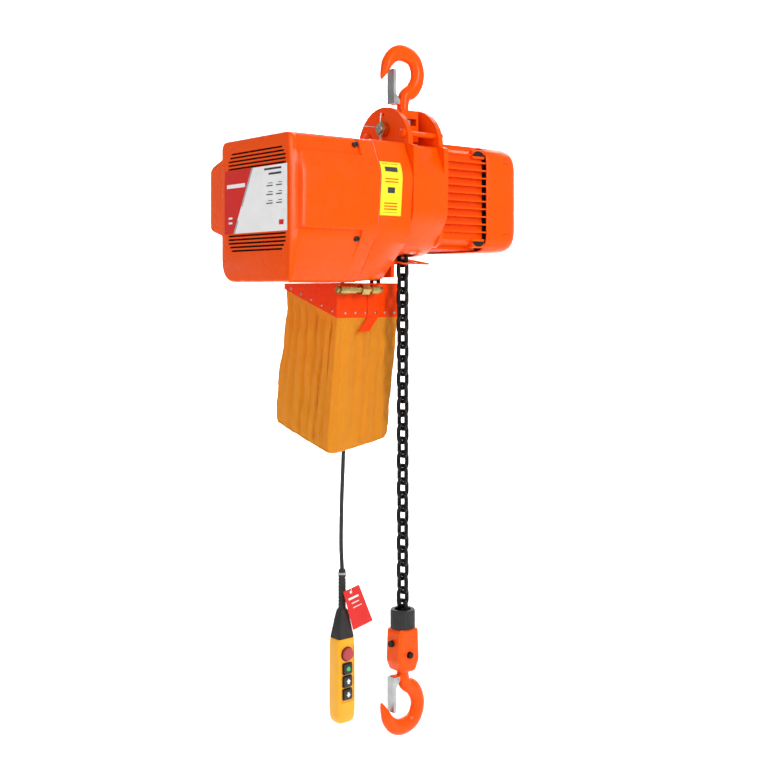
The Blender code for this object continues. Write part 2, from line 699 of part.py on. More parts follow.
def link(bm, centre, along, across):
    """One link: an eight-cornered loop of round wire in the plane of along and across."""
    centre, along, across = Vector(centre), Vector(along), Vector(across)
    square = along.cross(across)
    w, h = LINK_HALF_WIDTH, LINK_HALF_LENGTH
    path = [(w, 0.0105), (0.0060, h), (-0.0060, h), (-w, 0.0105)]
    path += [(-w, -0.0105), (-0.0060, -h), (0.0060, -h), (w, -0.0105)]
    points = [centre + across * a + along * b for a, b in path]
    rings = []
    for i, point in enumerate(points):
        before = (point - points[i - 1]).normalized()
        after = (points[(i + 1) % len(points)] - point).normalized()
        tangent = (before + after).normalized()
        out = square.cross(tangent)
        spread = 1 / max(0.5, before.dot(tangent))
        rings.append(circle(point, out, square, WIRE_R * spread, WIRE_R, 6))
    loft(rings, bm, closed=True)


def straight_links(y, first_z, numbers):
    """The numbered links of a hanging run, even ones in the YZ plane and odd ones in the XZ plane."""
    bm = bmesh.new()
    for i in numbers:
        across = (0, 1, 0) if i % 2 == 0 else (1, 0, 0)
        link(bm, (0, y, first_z - i * LINK_PITCH), (0, 0, 1), across)
    return bm


def hanging_run(name, y, first_z, start, count):
    """A run of links that bear on each other, joined where they touch."""
    numbers = range(start, start + count)
    run = add(name, straight_links(y, first_z, numbers[::2]), "black_steel", smooth_deg=65)
    combine(run, "UNION", straight_links(y, first_z, numbers[1::2]))
    return run


def wrapped_links(numbers):
    """The numbered links lying round the top of the sheave, even ones flat in the pockets."""
    bm = bmesh.new()
    for i in numbers:
        a = math.pi - SHEAVE_STEP * (i + 0.5)
        out = Vector((0, math.cos(a), math.sin(a)))
        along = Vector((0, -math.sin(a), math.cos(a)))
        centre = Vector((0, AXIS_Y, AXIS_Z)) + out * (SHEAVE_R * math.cos(SHEAVE_STEP / 2))
        link(bm, centre, along, (1, 0, 0) if i % 2 == 0 else out)
    return bm


def chains():
    """The load chain with the links round the wheel, the links riding on the hook block, the slack run."""
    first_z = AXIS_Z - LINK_PITCH / 2
    load = hanging_run("load_chain", 0.0, first_z, 0, LOAD_LINKS)
    combine(load, "UNION", wrapped_links((0, 2, 4)))
    combine(load, "UNION", wrapped_links((1, 3)))
    hanging_run("chain_end_links", 0.0, first_z + 2 * LINK_END_GAP, LOAD_LINKS, RIDING_LINKS)
    hanging_run("slack_chain", 2 * AXIS_Y, first_z + LINK_END_GAP, 0, SLACK_LINKS)


LEVER_PIVOT = (0.022, 0.040, -0.4275)
LEVER_DROOP_DEG = 11
LEVER_HALF = 0.0015


def drooped(z, outline):
    """Points of an outline at a height, swung down at the front about the lever's pivot."""
    droop = Matrix.Rotation(math.radians(LEVER_DROOP_DEG), 3, "X")
    pivot = Vector(LEVER_PIVOT)
    return [pivot + droop @ Vector((p.x - pivot.x, p.y - pivot.y, z)) for p in outline]


def limit_lever():
    """A thin plate with a window round the chain and a three-cornered window, turning on a line along X."""
    corners = [(-0.0235, -0.026, 0.005), (0.062, -0.026, 0.008), (0.040, 0.046, 0.006), (-0.0235, 0.046, 0.006)]
    outline = rounded(corners, 2)
    lever = loft([drooped(-LEVER_HALF, outline), drooped(LEVER_HALF, outline)])
    lever = add("limit_lever", lever, "orange_paint", LEVER_PIVOT)
    chain_window = rectangle(-0.0180, 0.0180, -0.0195, 0.0190, 0.002, 2)
    corners = [(0.024, -0.018, 0.003), (0.049, -0.018, 0.003), (0.040, 0.012, 0.003), (0.024, 0.012, 0.003)]
    corner_window = rounded(corners, 2)
    for window in (chain_window, corner_window):
        combine(lever, "DIFFERENCE", loft([drooped(-0.010, window), drooped(0.010, window)]))


def chain_guide():
    """Bracket below the sheave housing that the lever and the hanger bolt are held by."""
    guide = block(-0.0350, 0.0350, 0.0500, 0.0700, -0.4400, -0.4245)
    obj = add("chain_guide", guide, "dark_orange")
    combine(obj, "UNION", block(-0.0366, -0.0280, -0.0050, 0.0700, -0.4700, -0.4245))


# ------------------------------------------------------------- chain bag


def holder_low_z(y):
    """Lower edge of the holder's sides, sloping up to the back."""
    share = (y - BAG_Y0) / (BAG_Y1 - BAG_Y0)
    return -0.556 + 0.062 * min(max(share, 0.0), 1.0)


def bag_holder():
    outer = rectangle(BAG_X0 - 0.0021, BAG_X1 + 0.0021, BAG_Y0 - 0.0021, BAG_Y1 + 0.0021, 0.008, 2)
    inner = rectangle(BAG_X0 - 0.0006, BAG_X1 + 0.0006, BAG_Y0 - 0.0006, BAG_Y1 + 0.0006, 0.0065, 2)
    rings = [[(p.x, p.y, holder_low_z(p.y)) for p in outline] for outline in (inner, outer)]
    rings += [at_z(HOLDER_TOP_Z, outer), at_z(HOLDER_TOP_Z, inner)]
    holder = add("bag_holder", loft(rings, closed=True), "dark_orange")
    combine(holder, "UNION", rivets())


def rivets():
    """Heads along the front edge and the sloping left edge, formed over the sheet."""
    bm = bmesh.new()
    count = 6
    for i in range(count):
        x = BAG_X0 + 0.020 + i * (BAG_X1 - BAG_X0 - 0.035) / (count - 1)
        front = BAG_Y0 - 0.0021
        rod("Y", (x, 0, -0.546), front - 0.0022, front + 0.001, 0.0030, 8, bm=bm)
    for i in range(5):
        y = BAG_Y0 + 0.015 + i * 0.038
        side = BAG_X0 - 0.0021
        rod("X", (0, y, holder_low_z(y) + 0.010), side - 0.0022, side + 0.001, 0.0030, 8, bm=bm)
    return bm


def bag_bottom_z(x, y):
    across = (x - BAG_X0) / (BAG_X1 - BAG_X0)
    back = (y - BAG_Y0) / (BAG_Y1 - BAG_Y0)
    return -0.851 + 0.026 * across + 0.051 * back


def bag_ring(share, shrink, low_shift=0.0):
    """Section of the bag a given share of the way down, as points of a sloping loop."""
    lower = max(0.0, (share - BAG_STRAIGHT) / (1 - BAG_STRAIGHT))
    outline = rectangle(
        BAG_X0 - 0.022 * lower + shrink,
        BAG_X1 - 0.026 * lower - shrink,
        BAG_Y0 + shrink,
        BAG_Y1 + 0.022 * lower - shrink,
        0.012 + 0.012 * share,
        3,
    )
    ring = []
    for p in outline:
        low = bag_bottom_z(p.x, p.y) + low_shift
        ring.append((p.x, p.y, BAG_TOP_Z + (low - BAG_TOP_Z) * share))
    return ring


def chain_bag():
    shares = (0.0, BAG_STRAIGHT, 0.60, 0.95)
    rings = [bag_ring(share, 0.0) for share in shares]
    rings.append(bag_ring(1.0, 0.012))
    rings.append(bag_ring(1.0, 0.012 + BAG_WALL, BAG_WALL))
    rings += [bag_ring(share, BAG_WALL) for share in shares[::-1]]
    add("chain_bag", bag_shell(rings), "bag_cloth")


def bag_shell(rings):
    """Outer wall down to the floor and inner wall back up, joined round the open mouth."""
    bm = bmesh.new()
    middle = len(rings) // 2
    outer = [[bm.verts.new(p) for p in ring] for ring in rings[:middle]]
    inner = [[bm.verts.new(p) for p in ring] for ring in rings[middle:]]
    for wall in (outer, inner):
        for first, second in zip(wall, wall[1:]):
            bridge(bm, first, second)
    bm.faces.new(outer[-1])
    bm.faces.new(inner[0])
    bridge(bm, outer[0], inner[-1])
    return bm


def bridge(bm, first, second):
    for i in range(len(first)):
        j = (i + 1) % len(first)
        bm.faces.new((first[i], first[j], second[j], second[i]))


def bag_fittings():
    front = BAG_Y0 - 0.0021 - GAP
    strap = [(front, -0.4830), (front, -0.5560), (front - 0.020, -0.590)]
    thick = 0.0020
    outline = strap + [(strap[2][0] - 0.0018, strap[2][1] + 0.001)]
    outline += [(front - thick, -0.5555), (front - thick, -0.4830)]
    rings = [[(x, y, z) for y, z in outline] for x in (-0.071, -0.041)]
    obj = add("bag_strap", loft(rings), "dark_orange")
    combine(obj, "DIFFERENCE", rod("Y", (-0.0485, 0, -0.546), 0.0, 0.05, 0.0036, 10))
    centre = (0, 0.012, -0.4955)
    bolt = [(-0.172, 0.0055), (-0.170, 0.0070), (-0.0800, 0.0070)]
    bolt += [(-0.0799, 0.0100), (-0.062, 0.0105), (-0.052, 0.0075)]
    add("hanger_bolt", turned("X", centre, bolt, 16), "yellow_zinc")
    add("hanger_sleeve", sleeve("X", centre, -0.165, -0.125, 0.0070 + GAP, 0.0105, 16), "yellow_zinc")
    add("hanger_nut", hex_nut("X", centre, -0.108, -0.088, 0.0070 + GAP, 0.0125), "yellow_zinc")


# --------------------------------------------------------------- pendant


def smooth_route(route, steps):
    """Catmull-Rom points through a hand-placed route."""
    points = [Vector(p) for p in route]
    padded = [points[0] * 2 - points[1], *points, points[-1] * 2 - points[-2]]
    out = []
    for a, b, c, d in zip(padded, padded[1:], padded[2:], padded[3:]):
        for k in range(steps):
            t = k / steps
            out.append(
                0.5
                * (2 * b + (c - a) * t + (2 * a - 5 * b + 4 * c - d) * t**2 + (3 * b - a - 3 * c + d) * t**3)
            )
    return out + [points[-1]]


def pendant_cable():
    curve = bpy.data.curves.new("pendant_cable", "CURVE")
    curve.dimensions = "3D"
    curve.bevel_depth = CABLE_R
    curve.bevel_resolution = 2
    curve.use_fill_caps = True
    points = smooth_route(CABLE_ROUTE, CABLE_STEPS)
    spline = curve.splines.new("POLY")
    spline.points.add(len(points) - 1)
    for slot, point in zip(spline.points, points):
        slot.co = (*point, 1.0)
    obj = bpy.data.objects.new("pendant_cable", curve)
    curve.materials.append(material("black_rubber"))
    bpy.context.scene.collection.objects.link(obj)


def cable_gland():
    centre = (GLAND_X, 0, CABLE_ROUTE[0][2])
    gland = [(0.1686, 0.0120), (0.1900, 0.0120), (0.1960, 0.0085), (CABLE_ROUTE[0][1] - SAFE, 0.0070)]
    add("cable_gland", turned("Y", centre, gland, 12), "black_plastic")


BUTTONS = (
    ("estop_button", -1.3530, 0.0155, "red_plastic"),
    ("start_button", -1.3870, 0.0125, "green_plastic"),
    ("up_button", -1.4170, 0.0125, "black_plastic"),
    ("down_button", -1.4470, 0.0125, "black_plastic"),
)
BUTTON_TRAVEL = 0.004


def pendant():
    centre = (PENDANT_X, PENDANT_Y, 0)
    top = -1.1560 - GAP
    tube = [(top, 0.0085), (-1.2510, 0.0095), (-1.2520, 0.0125), (-1.2700, 0.0165), (CASE_TOP_Z + GAP, 0.0205)]
    add("pendant_boot", turned("Z", centre, tube, 20), "black_rubber")
    x, y = PENDANT_X, PENDANT_Y
    sections = (
        (CASE_TOP_Z, 0.0225, 0.0185),
        (CASE_TOP_Z - 0.010, CASE_HALF_X - 0.001, CASE_HALF_Y - 0.001),
        (-1.400, CASE_HALF_X, CASE_HALF_Y),
        (-1.470, CASE_HALF_X, CASE_HALF_Y),
        (CASE_BOTTOM_Z + 0.012, CASE_HALF_X - 0.001, CASE_HALF_Y - 0.001),
        (CASE_BOTTOM_Z, CASE_HALF_X - 0.010, CASE_HALF_Y - 0.007),
    )
    rings = []
    for z, hx, hy in sections:
        rings.append(at_z(z, rectangle(x - hx, x + hx, y - hy, y + hy, 0.009, 3)))
    case = add("pendant_case", loft(rings), "yellow_plastic")
    pockets = bmesh.new()
    for _, z, radius, _ in BUTTONS:
        rod("Y", (PENDANT_X, PENDANT_Y, z), -0.030, -0.004, radius, 16, bm=pockets)
    combine(case, "DIFFERENCE", pockets)


def buttons():
    for name, z, pocket, look in BUTTONS:
        centre = (PENDANT_X, PENDANT_Y, z)
        radius = pocket - SAFE
        face = -CASE_HALF_Y - 0.006 if name == "estop_button" else -CASE_HALF_Y - 0.0045
        foot = -0.004 - BUTTON_TRAVEL - SAFE
        profile = [(foot, radius), (face + 0.0015, radius), (face, radius - 0.0015)]
        add(name, turned("Y", centre, profile, 16), look, (PENDANT_X, PENDANT_Y + face, z))


def swing_tag():
    """Card tag hanging from the boot on a short cord, turned a little to the side."""
    tag_y = PENDANT_Y - 0.0225
    corners = [(0.019, -1.204, 0.003), (0.066, -1.194, 0.003), (0.108, -1.287, 0.003), (0.0485, -1.2995, 0.003)]
    outline = rounded(corners, 2)
    add("swing_tag", loft([at_y(tag_y - 0.0006, outline), at_y(tag_y, outline)]), "tag_card")


# ------------------------------------------------------------ hook block

LAST_LINK_Z = AXIS_Z - LINK_PITCH / 2 + 2 * LINK_END_GAP - (LOAD_LINKS + RIDING_LINKS - 1) * LINK_PITCH
BLOCK_BOLT_Z = -1.2855
BLOCK_PIN_R = 0.0041
BLOCK_PIN_Z = LAST_LINK_Z - LINK_HALF_LENGTH + WIRE_R + BLOCK_PIN_R + GAP


def stop_cup():
    profile = [(CUP_TOP_Z, 0.0255), (CUP_TOP_Z - 0.003, 0.027)]
    profile += [(CUP_BOTTOM_Z + GAP, 0.027), (CUP_BOTTOM_Z + GAP, 0.0185)]
    profile += [(CUP_TOP_Z, 0.0185)]
    add("stop_cup", turned("Z", (0, 0, 0), profile, 24, closed=True), "black_rubber")


def block_half(name, side):
    """One half of the block: a round-ended body split along the middle plane."""
    corners = [(-0.0265, CUP_BOTTOM_Z, 0.008), (0.0265, CUP_BOTTOM_Z, 0.008), (0.0295, -1.300, 0.02)]
    corners += [(0.0190, BLOCK_BOTTOM_Z, 0.008), (-0.0190, BLOCK_BOTTOM_Z, 0.008), (-0.0295, -1.300, 0.02)]
    outline = rounded(corners, 2)
    depths = (side * GAP / 2, side * 0.0195, side * 0.0225)
    rings = [at_y(depths[0], outline), at_y(depths[1], outline), at_y(depths[2], inset(outline, 0.005))]
    obj = add(name, loft(rings), "orange_paint")
    combine(obj, "DIFFERENCE", block(-0.0062, 0.0062, -0.0175, 0.0175, -1.2808, CUP_BOTTOM_Z + 0.02))
    combine(obj, "DIFFERENCE", block(-0.0174, 0.0174, -0.0062, 0.0062, -1.2530, CUP_BOTTOM_Z + 0.02))
    cavity = rod("Z", (0, 0, 0), -1.3120, -1.2950, 0.0185, 20)
    combine(obj, "DIFFERENCE", cavity)
    combine(obj, "DIFFERENCE", rod("Z", (0, 0, 0), -1.34, -1.30, SHANK_R + 0.0004, 20))
    combine(obj, "DIFFERENCE", rod("X", (0, 0, BLOCK_PIN_Z), -0.05, 0.05, 0.0045, 12))
    combine(obj, "DIFFERENCE", rod("Y", (0, 0, BLOCK_BOLT_Z), -0.05, 0.05, 0.0045, 12))


def hook_block():
    stop_cup()
    block_half("hook_block_front", -1)
    block_half("hook_block_back", 1)
    pin = [(-0.0370, 0.0065), (-0.0305, 0.0075), (-0.0304, BLOCK_PIN_R)]
    pin += [(0.0304, BLOCK_PIN_R), (0.0305, 0.0075), (0.0370, 0.0065)]
    add("chain_pin", turned("X", (0, 0, BLOCK_PIN_Z), pin, 12), "black_steel")
    bolt = [(-0.0285, 0.0065), (-0.0229, 0.0075), (-0.0228, BLOCK_PIN_R)]
    bolt += [(0.0228, BLOCK_PIN_R), (0.0229, 0.0075), (0.0285, 0.0075)]
    add("hook_block_bolt", turned("Y", (0, 0, BLOCK_BOLT_Z), bolt, 12), "black_steel")
    hook("load_hook", LOAD_SADDLE_Z, 1, -1.2965)
    latch("load_hook_latch", LOAD_SADDLE_Z, 1)
    nut = hex_nut("Z", (0, 0, 0), -1.3110, -1.2975, STEM_R + GAP, 0.0170)
    add("load_hook_nut", nut, "zinc")


def main():
    clear_scene()
    top_suspension()
    suspension_pin()
    tie_bolts()
    lug_plate("lug_plate_gear_side", -PLATE_X)
    lug_plate("lug_plate_motor_side", PLATE_X)
    control_cover()
    gear_case()
    sheave_housing()
    control_parts()
    motor()
    fan_cover()
    gears()
    load_sheave()
    chains()
    limit_lever()
    chain_guide()
    bag_holder()
    chain_bag()
    bag_fittings()
    cable_gland()
    pendant_cable()
    pendant()
    buttons()
    swing_tag()
    hook_block()


main()
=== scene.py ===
"""Looks of the electric chain hoist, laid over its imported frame: camera, cord, surfaces, cloth and light."""
import math

import bmesh
import bpy
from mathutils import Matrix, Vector, noise


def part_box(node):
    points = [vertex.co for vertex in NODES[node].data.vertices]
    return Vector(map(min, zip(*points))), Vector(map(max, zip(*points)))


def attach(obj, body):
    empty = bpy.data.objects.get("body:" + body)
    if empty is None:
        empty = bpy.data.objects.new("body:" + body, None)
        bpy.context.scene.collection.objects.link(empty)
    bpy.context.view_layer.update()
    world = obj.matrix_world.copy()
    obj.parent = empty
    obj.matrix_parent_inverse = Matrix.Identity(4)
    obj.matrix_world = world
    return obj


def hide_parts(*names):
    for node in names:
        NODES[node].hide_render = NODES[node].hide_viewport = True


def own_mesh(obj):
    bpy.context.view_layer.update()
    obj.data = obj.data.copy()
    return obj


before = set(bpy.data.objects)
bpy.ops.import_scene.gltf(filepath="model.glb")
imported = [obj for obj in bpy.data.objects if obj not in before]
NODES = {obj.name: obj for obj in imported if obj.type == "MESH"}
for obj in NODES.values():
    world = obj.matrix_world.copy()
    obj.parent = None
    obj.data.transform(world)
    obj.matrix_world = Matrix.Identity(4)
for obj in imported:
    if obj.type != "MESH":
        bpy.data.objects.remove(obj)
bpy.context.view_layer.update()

# ------------------------------------------------------------- driving sizes (metres)

CAMERA_AT = (-1.647, -1.934, -0.499)
CAMERA_TURN_DEG = -39.5
CAMERA_LENS = 54.7
CAMERA_SHIFT_Y = -0.121

LINK_PITCH = 0.0296
SHEAVE_STEP = math.pi / 5
SHEAVE_R = LINK_PITCH / 2 / math.sin(SHEAVE_STEP / 2)
AXIS_Y = SHEAVE_R
AXIS_Z = -0.291
LINK_END_GAP = 0.0012
LOAD_LINKS = 30
RIDING_LINKS = 3
SLACK_LINKS = 8

COVER_END_X = -0.350
SEAM_X = -0.136
CASE_END_X = -0.0493
BACK_Y = 0.171
WALL = 0.003

BAG_X0, BAG_X1 = -0.150, 0.021
BAG_Y0, BAG_Y1 = 0.0375, 0.2335
BAG_TOP_Z = -0.492
BAG_STRAIGHT = 0.20

PENDANT_X, PENDANT_Y = 0.033, 0.260
GLAND_X = 0.022
CABLE_R = 0.005
CABLE_ROUTE = [
    (GLAND_X, 0.2004, -0.3000),
    (0.0225, 0.2200, -0.3005),
    (0.0260, 0.2460, -0.3200),
    (0.0300, 0.2560, -0.3700),
    (0.036, 0.2620, -0.480),
    (0.039, 0.2640, -0.650),
    (0.042, 0.2640, -0.820),
    (0.034, 0.2620, -0.980),
    (0.030, 0.2600, -1.090),
    (PENDANT_X, PENDANT_Y, -1.1560),
]
CABLE_STEPS = 5

# ------------------------------------------------------------------------- camera


def set_camera():
    data = bpy.data.cameras.new("camera")
    data.lens = CAMERA_LENS
    data.shift_y = CAMERA_SHIFT_Y
    camera = bpy.data.objects.new("camera", data)
    camera.location = CAMERA_AT
    camera.rotation_euler = (math.radians(90), 0, math.radians(CAMERA_TURN_DEG))
    bpy.context.scene.collection.objects.link(camera)
    bpy.context.scene.camera = camera


set_camera()

# -------------------------------------------------------------------- mesh helpers


def link_object(name, data, look, body, *replaced):
    obj = bpy.data.objects.new(name, data)
    bpy.context.scene.collection.objects.link(obj)
    data.materials.append(look)
    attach(obj, body)
    if replaced:
        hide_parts(*replaced)
    return obj


def piece(name, bm, look, body, *replaced, smooth_deg=40, bevel=0.0, segments=2, subdivide=0):
    """A finished mesh piece on a body, standing for the CAD nodes named."""
    bmesh.ops.recalc_face_normals(bm, faces=bm.faces)
    mesh = bpy.data.meshes.new(name)
    bm.to_mesh(mesh)
    bm.free()
    mesh.shade_smooth()
    mesh.set_sharp_from_angle(angle=math.radians(smooth_deg))
    obj = link_object(name, mesh, look, body, *replaced)
    if bevel:
        add_bevel(obj, bevel, segments)
    if subdivide:
        modifier = obj.modifiers.new("Subdivision", "SUBSURF")
        modifier.levels = subdivide
        modifier.render_levels = subdivide
    return obj


def add_bevel(obj, width, segments=2, angle_deg=32):
    modifier = obj.modifiers.new("Bevel", "BEVEL")
    modifier.width = width
    modifier.segments = segments
    modifier.limit_method = "ANGLE"
    modifier.angle_limit = math.radians(angle_deg)
    modifier.harden_normals = False


def cut(obj, bm):
    """Boolean difference with a cutter mesh that isn't shown."""
    bmesh.ops.recalc_face_normals(bm, faces=bm.faces)
    mesh = bpy.data.meshes.new(obj.name + "_cutter")
    bm.to_mesh(mesh)
    bm.free()
    helper = bpy.data.objects.new(mesh.name, mesh)
    bpy.context.scene.collection.objects.link(helper)
    modifier = obj.modifiers.new("Cut", "BOOLEAN")
    modifier.operation = "DIFFERENCE"
    modifier.object = helper
    bpy.context.view_layer.update()
    evaluated = obj.evaluated_get(bpy.context.evaluated_depsgraph_get())
    baked = bpy.data.meshes.new_from_object(evaluated)
    obj.modifiers.clear()
    obj.data = baked
    bpy.data.objects.remove(helper)
    baked.shade_smooth()
    baked.set_sharp_from_angle(angle=math.radians(30))


def loft(rings, bm=None, closed=False, caps=True):
    bm = bm or bmesh.new()
    rows = [[bm.verts.new(point) for point in ring] for ring in rings]
    pairs = list(zip(rows, rows[1:]))
    if closed:
        pairs.append((rows[-1], rows[0]))
    elif caps:
        bm.faces.new(rows[0])
        bm.faces.new(rows[-1])
    for low, high in pairs:
        for i in range(len(low)):
            j = (i + 1) % len(low)
            bm.faces.new((low[i], low[j], high[j], high[i]))
    return bm


AXES = {
    "X": ((1, 0, 0), (0, 1, 0), (0, 0, 1)),
    "Y": ((0, 1, 0), (0, 0, 1), (1, 0, 0)),
    "Z": ((0, 0, 1), (1, 0, 0), (0, 1, 0)),
}


def circle(centre, u, v, ru, rv=None, sides=32):
    rv = ru if rv is None else rv
    points = []
    for i in range(sides):
        a = 2 * math.pi * i / sides
        points.append(Vector(centre) + Vector(u) * (ru * math.cos(a)) + Vector(v) * (rv * math.sin(a)))
    return points


def turned(axis, centre, profile, sides=32, bm=None, closed=False):
    along, u, v = AXES[axis]
    rings = [circle(Vector(centre) + Vector(along) * at, u, v, r, sides=sides) for at, r in profile]
    return loft(rings, bm, closed)


def block(x0, x1, y0, y1, z0, z1, bm=None):
    rings = [[(x0, y0, z), (x1, y0, z), (x1, y1, z), (x0, y1, z)] for z in (z0, z1)]
    return loft(rings, bm)


def rounded(corners, steps=9):
    """A closed outline from corners (a, b, radius), each turned into a curve of steps + 1 points."""
    outline = []
    for i, (a, b, radius) in enumerate(corners):
        here = Vector((a, b))
        back = Vector(corners[i - 1][:2]) - here
        ahead = Vector(corners[(i + 1) % len(corners)][:2]) - here
        half = back.angle(ahead) / 2
        reach = min(radius / math.tan(half), 0.49 * back.length, 0.49 * ahead.length)
        start = here + back.normalized() * reach
        end = here + ahead.normalized() * reach
        for k in range(steps + 1):
            t = k / steps
            outline.append(start * (1 - t) ** 2 + here * 2 * t * (1 - t) + end * t**2)
    return outline


def rectangle(a0, a1, b0, b1, radius, steps=6):
    return rounded([(a0, b0, radius), (a1, b0, radius), (a1, b1, radius), (a0, b1, radius)], steps)


def inset(outline, amount):
    a = [p.x for p in outline]
    b = [p.y for p in outline]
    mid = Vector(((min(a) + max(a)) / 2, (min(b) + max(b)) / 2))
    fa = 1 - 2 * amount / (max(a) - min(a))
    fb = 1 - 2 * amount / (max(b) - min(b))
    return [Vector((mid.x + (p.x - mid.x) * fa, mid.y + (p.y - mid.y) * fb)) for p in outline]


def at_x(x, outline):
    return [(x, p.x, p.y) for p in outline]


def at_y(y, outline):
    return [(p.x, y, p.y) for p in outline]


def at_z(z, outline):
    return [(p.x, p.y, z) for p in outline]


def smooth_route(route, steps):
    """Catmull-Rom points through a given route."""
    points = [Vector(p) for p in route]
    padded = [points[0] * 2 - points[1], *points, points[-1] * 2 - points[-2]]
    out = []
    for a, b, c, d in zip(padded, padded[1:], padded[2:], padded[3:]):
        for k in range(steps):
            t = k / steps
            cubic = 2 * b + (c - a) * t + (2 * a - 5 * b + 4 * c - d) * t**2 + (3 * b - a - 3 * c + d) * t**3
            out.append(cubic * 0.5)
    return out + [points[-1]]


def tube(points, radius, sides=10, bm=None, closed=False):
    """Round tube along points, turning its section as little as possible."""
    points = [Vector(p) for p in points]
    rings = []
    up = None
    for i, point in enumerate(points):
        before = points[i - 1] if (i or closed) else points[0]
        after = points[(i + 1) % len(points)] if (i + 1 < len(points) or closed) else points[-1]
        tangent = (after - before).normalized()
        if up is None:
            up = tangent.orthogonal().normalized()
        up = (up - tangent * up.dot(tangent)).normalized()
        rings.append(circle(point, up, tangent.cross(up), radius, sides=sides))
    return loft(rings, bm, closed)


# ----------------------------------------------------------------------- materials


class Look:
    """Node material: base colour with slow variation, fine bump and changing roughness."""

    def __init__(self, name, colour, roughness, metallic=0.0, coat=0.0):
        self.material = bpy.data.materials.new(name)
        self.material.use_nodes = True
        self.tree = self.material.node_tree
        self.shader = self.tree.nodes["Principled BSDF"]
        self.shader.inputs["Base Color"].default_value = (*colour, 1)
        self.shader.inputs["Roughness"].default_value = roughness
        self.shader.inputs["Metallic"].default_value = metallic
        self.shader.inputs["Coat Weight"].default_value = coat
        self.shader.inputs["Coat Roughness"].default_value = 0.08
        self.coordinates = self.tree.nodes.new("ShaderNodeTexCoord").outputs["Object"]

    def node(self, kind, **inputs):
        made = self.tree.nodes.new(kind)
        for key, value in inputs.items():
            made.inputs[key.replace("_", " ")].default_value = value
        return made

    def noise(self, scale, detail=4.0, stretch=None):
        made = self.node("ShaderNodeTexNoise", Scale=scale, Detail=detail)
        source = self.coordinates
        if stretch:
            mapping = self.tree.nodes.new("ShaderNodeMapping")
            mapping.inputs["Scale"].default_value = stretch
            self.tree.links.new(source, mapping.inputs["Vector"])
            source = mapping.outputs["Vector"]
        self.tree.links.new(source, made.inputs["Vector"])
        return made.outputs["Fac"]

    def ranged(self, source, low, high, to_low, to_high):
        made = self.tree.nodes.new("ShaderNodeMapRange")
        for key, value in (("From Min", low), ("From Max", high), ("To Min", to_low), ("To Max", to_high)):
            made.inputs[key].default_value = value
        self.tree.links.new(source, made.inputs["Value"])
        return made.outputs["Result"]

    def vary_colour(self, other, scale, low=0.35, high=0.75, stretch=None, amount=1.0):
        """Blend the base colour towards another over a noise."""
        share = self.ranged(self.noise(scale, 5.0, stretch), low, high, 0.0, amount)
        return self.mix_to(other, share)

    def mix_to(self, other, share):
        mix = self.tree.nodes.new("ShaderNodeMix")
        mix.data_type = "RGBA"
        self.tree.links.new(share, mix.inputs["Factor"])
        target = self.shader.inputs["Base Color"]
        if target.links:
            self.tree.links.new(target.links[0].from_socket, mix.inputs[6])
        else:
            mix.inputs[6].default_value = target.default_value[:]
        mix.inputs[7].default_value = (*other, 1)
        self.tree.links.new(mix.outputs[2], target)
        return self

    def vary_roughness(self, low, high, scale):
        result = self.ranged(self.noise(scale, 6.0), 0.3, 0.7, low, high)
        self.tree.links.new(result, self.shader.inputs["Roughness"])
        return self

    def bump(self, source, distance):
        made = self.node("ShaderNodeBump", Distance=distance, Strength=1.0)
        self.tree.links.new(source, made.inputs["Height"])
        target = self.shader.inputs["Normal"]
        if target.links:
            self.tree.links.new(target.links[0].from_socket, made.inputs["Normal"])
        self.tree.links.new(made.outputs["Normal"], target)
        return self

    def grain(self, scale, distance, detail=3.0, stretch=None):
        return self.bump(self.noise(scale, detail, stretch), distance)

    def weave(self, scale, distance):
        """Two crossed wave textures, warp and weft."""
        for direction in ("X", "Z"):
            wave = self.tree.nodes.new("ShaderNodeTexWave")
            wave.bands_direction = direction
            wave.inputs["Scale"].default_value = scale
            wave.inputs["Distortion"].default_value = 0.6
            self.tree.links.new(self.coordinates, wave.inputs["Vector"])
            self.bump(wave.outputs["Fac"], distance)
        return self

    def done(self):
        return self.material


def enamel(name, colour, deep):
    look = Look(name, colour, 0.30, coat=0.05)
    look.shader.inputs["Specular IOR Level"].default_value = 0.14
    look.vary_colour(deep, 5.0, 0.45, 0.85, amount=0.35)
    look.vary_roughness(0.22, 0.36, 24.0)
    return look.grain(220.0, 0.00006).grain(30.0, 0.00012).done()


def metal(name, colour, dark, roughness, grain_scale=400.0, metallic=1.0):
    look = Look(name, colour, roughness, metallic)
    # Darker patches in the metal colour are partly random tone and partly painted dark reflection, which the
    # white surroundings do not give.
    look.vary_colour(dark, 40.0, 0.35, 0.8, amount=0.6)
    look.vary_roughness(roughness * 0.75, roughness * 1.4, 60.0)
    return look.grain(grain_scale, 0.00005).done()


def plastic(name, colour, roughness, texture=900.0):
    look = Look(name, colour, roughness)
    look.vary_colour(tuple(c * 0.75 for c in colour), 30.0, 0.4, 0.9, amount=0.4)
    look.vary_roughness(roughness * 0.85, min(1.0, roughness * 1.2), 50.0)
    return look.grain(texture, 0.00004).done()


def cloth():
    look = Look("bag_cloth", (1.0, 0.36, 0.014), 0.85)
    look.shader.inputs["Sheen Weight"].default_value = 0.06
    look.shader.inputs["Specular IOR Level"].default_value = 0.2
    look.vary_colour((0.86, 0.25, 0.01), 9.0, 0.4, 0.8, (1.0, 1.0, 0.25), amount=0.5)
    look.vary_colour((1.0, 0.45, 0.05), 60.0, 0.5, 0.9, amount=0.3)
    look.vary_roughness(0.75, 0.92, 80.0)
    return look.weave(900.0, 0.00018).grain(70.0, 0.0007, 4.0, (1.0, 1.0, 0.35)).done()


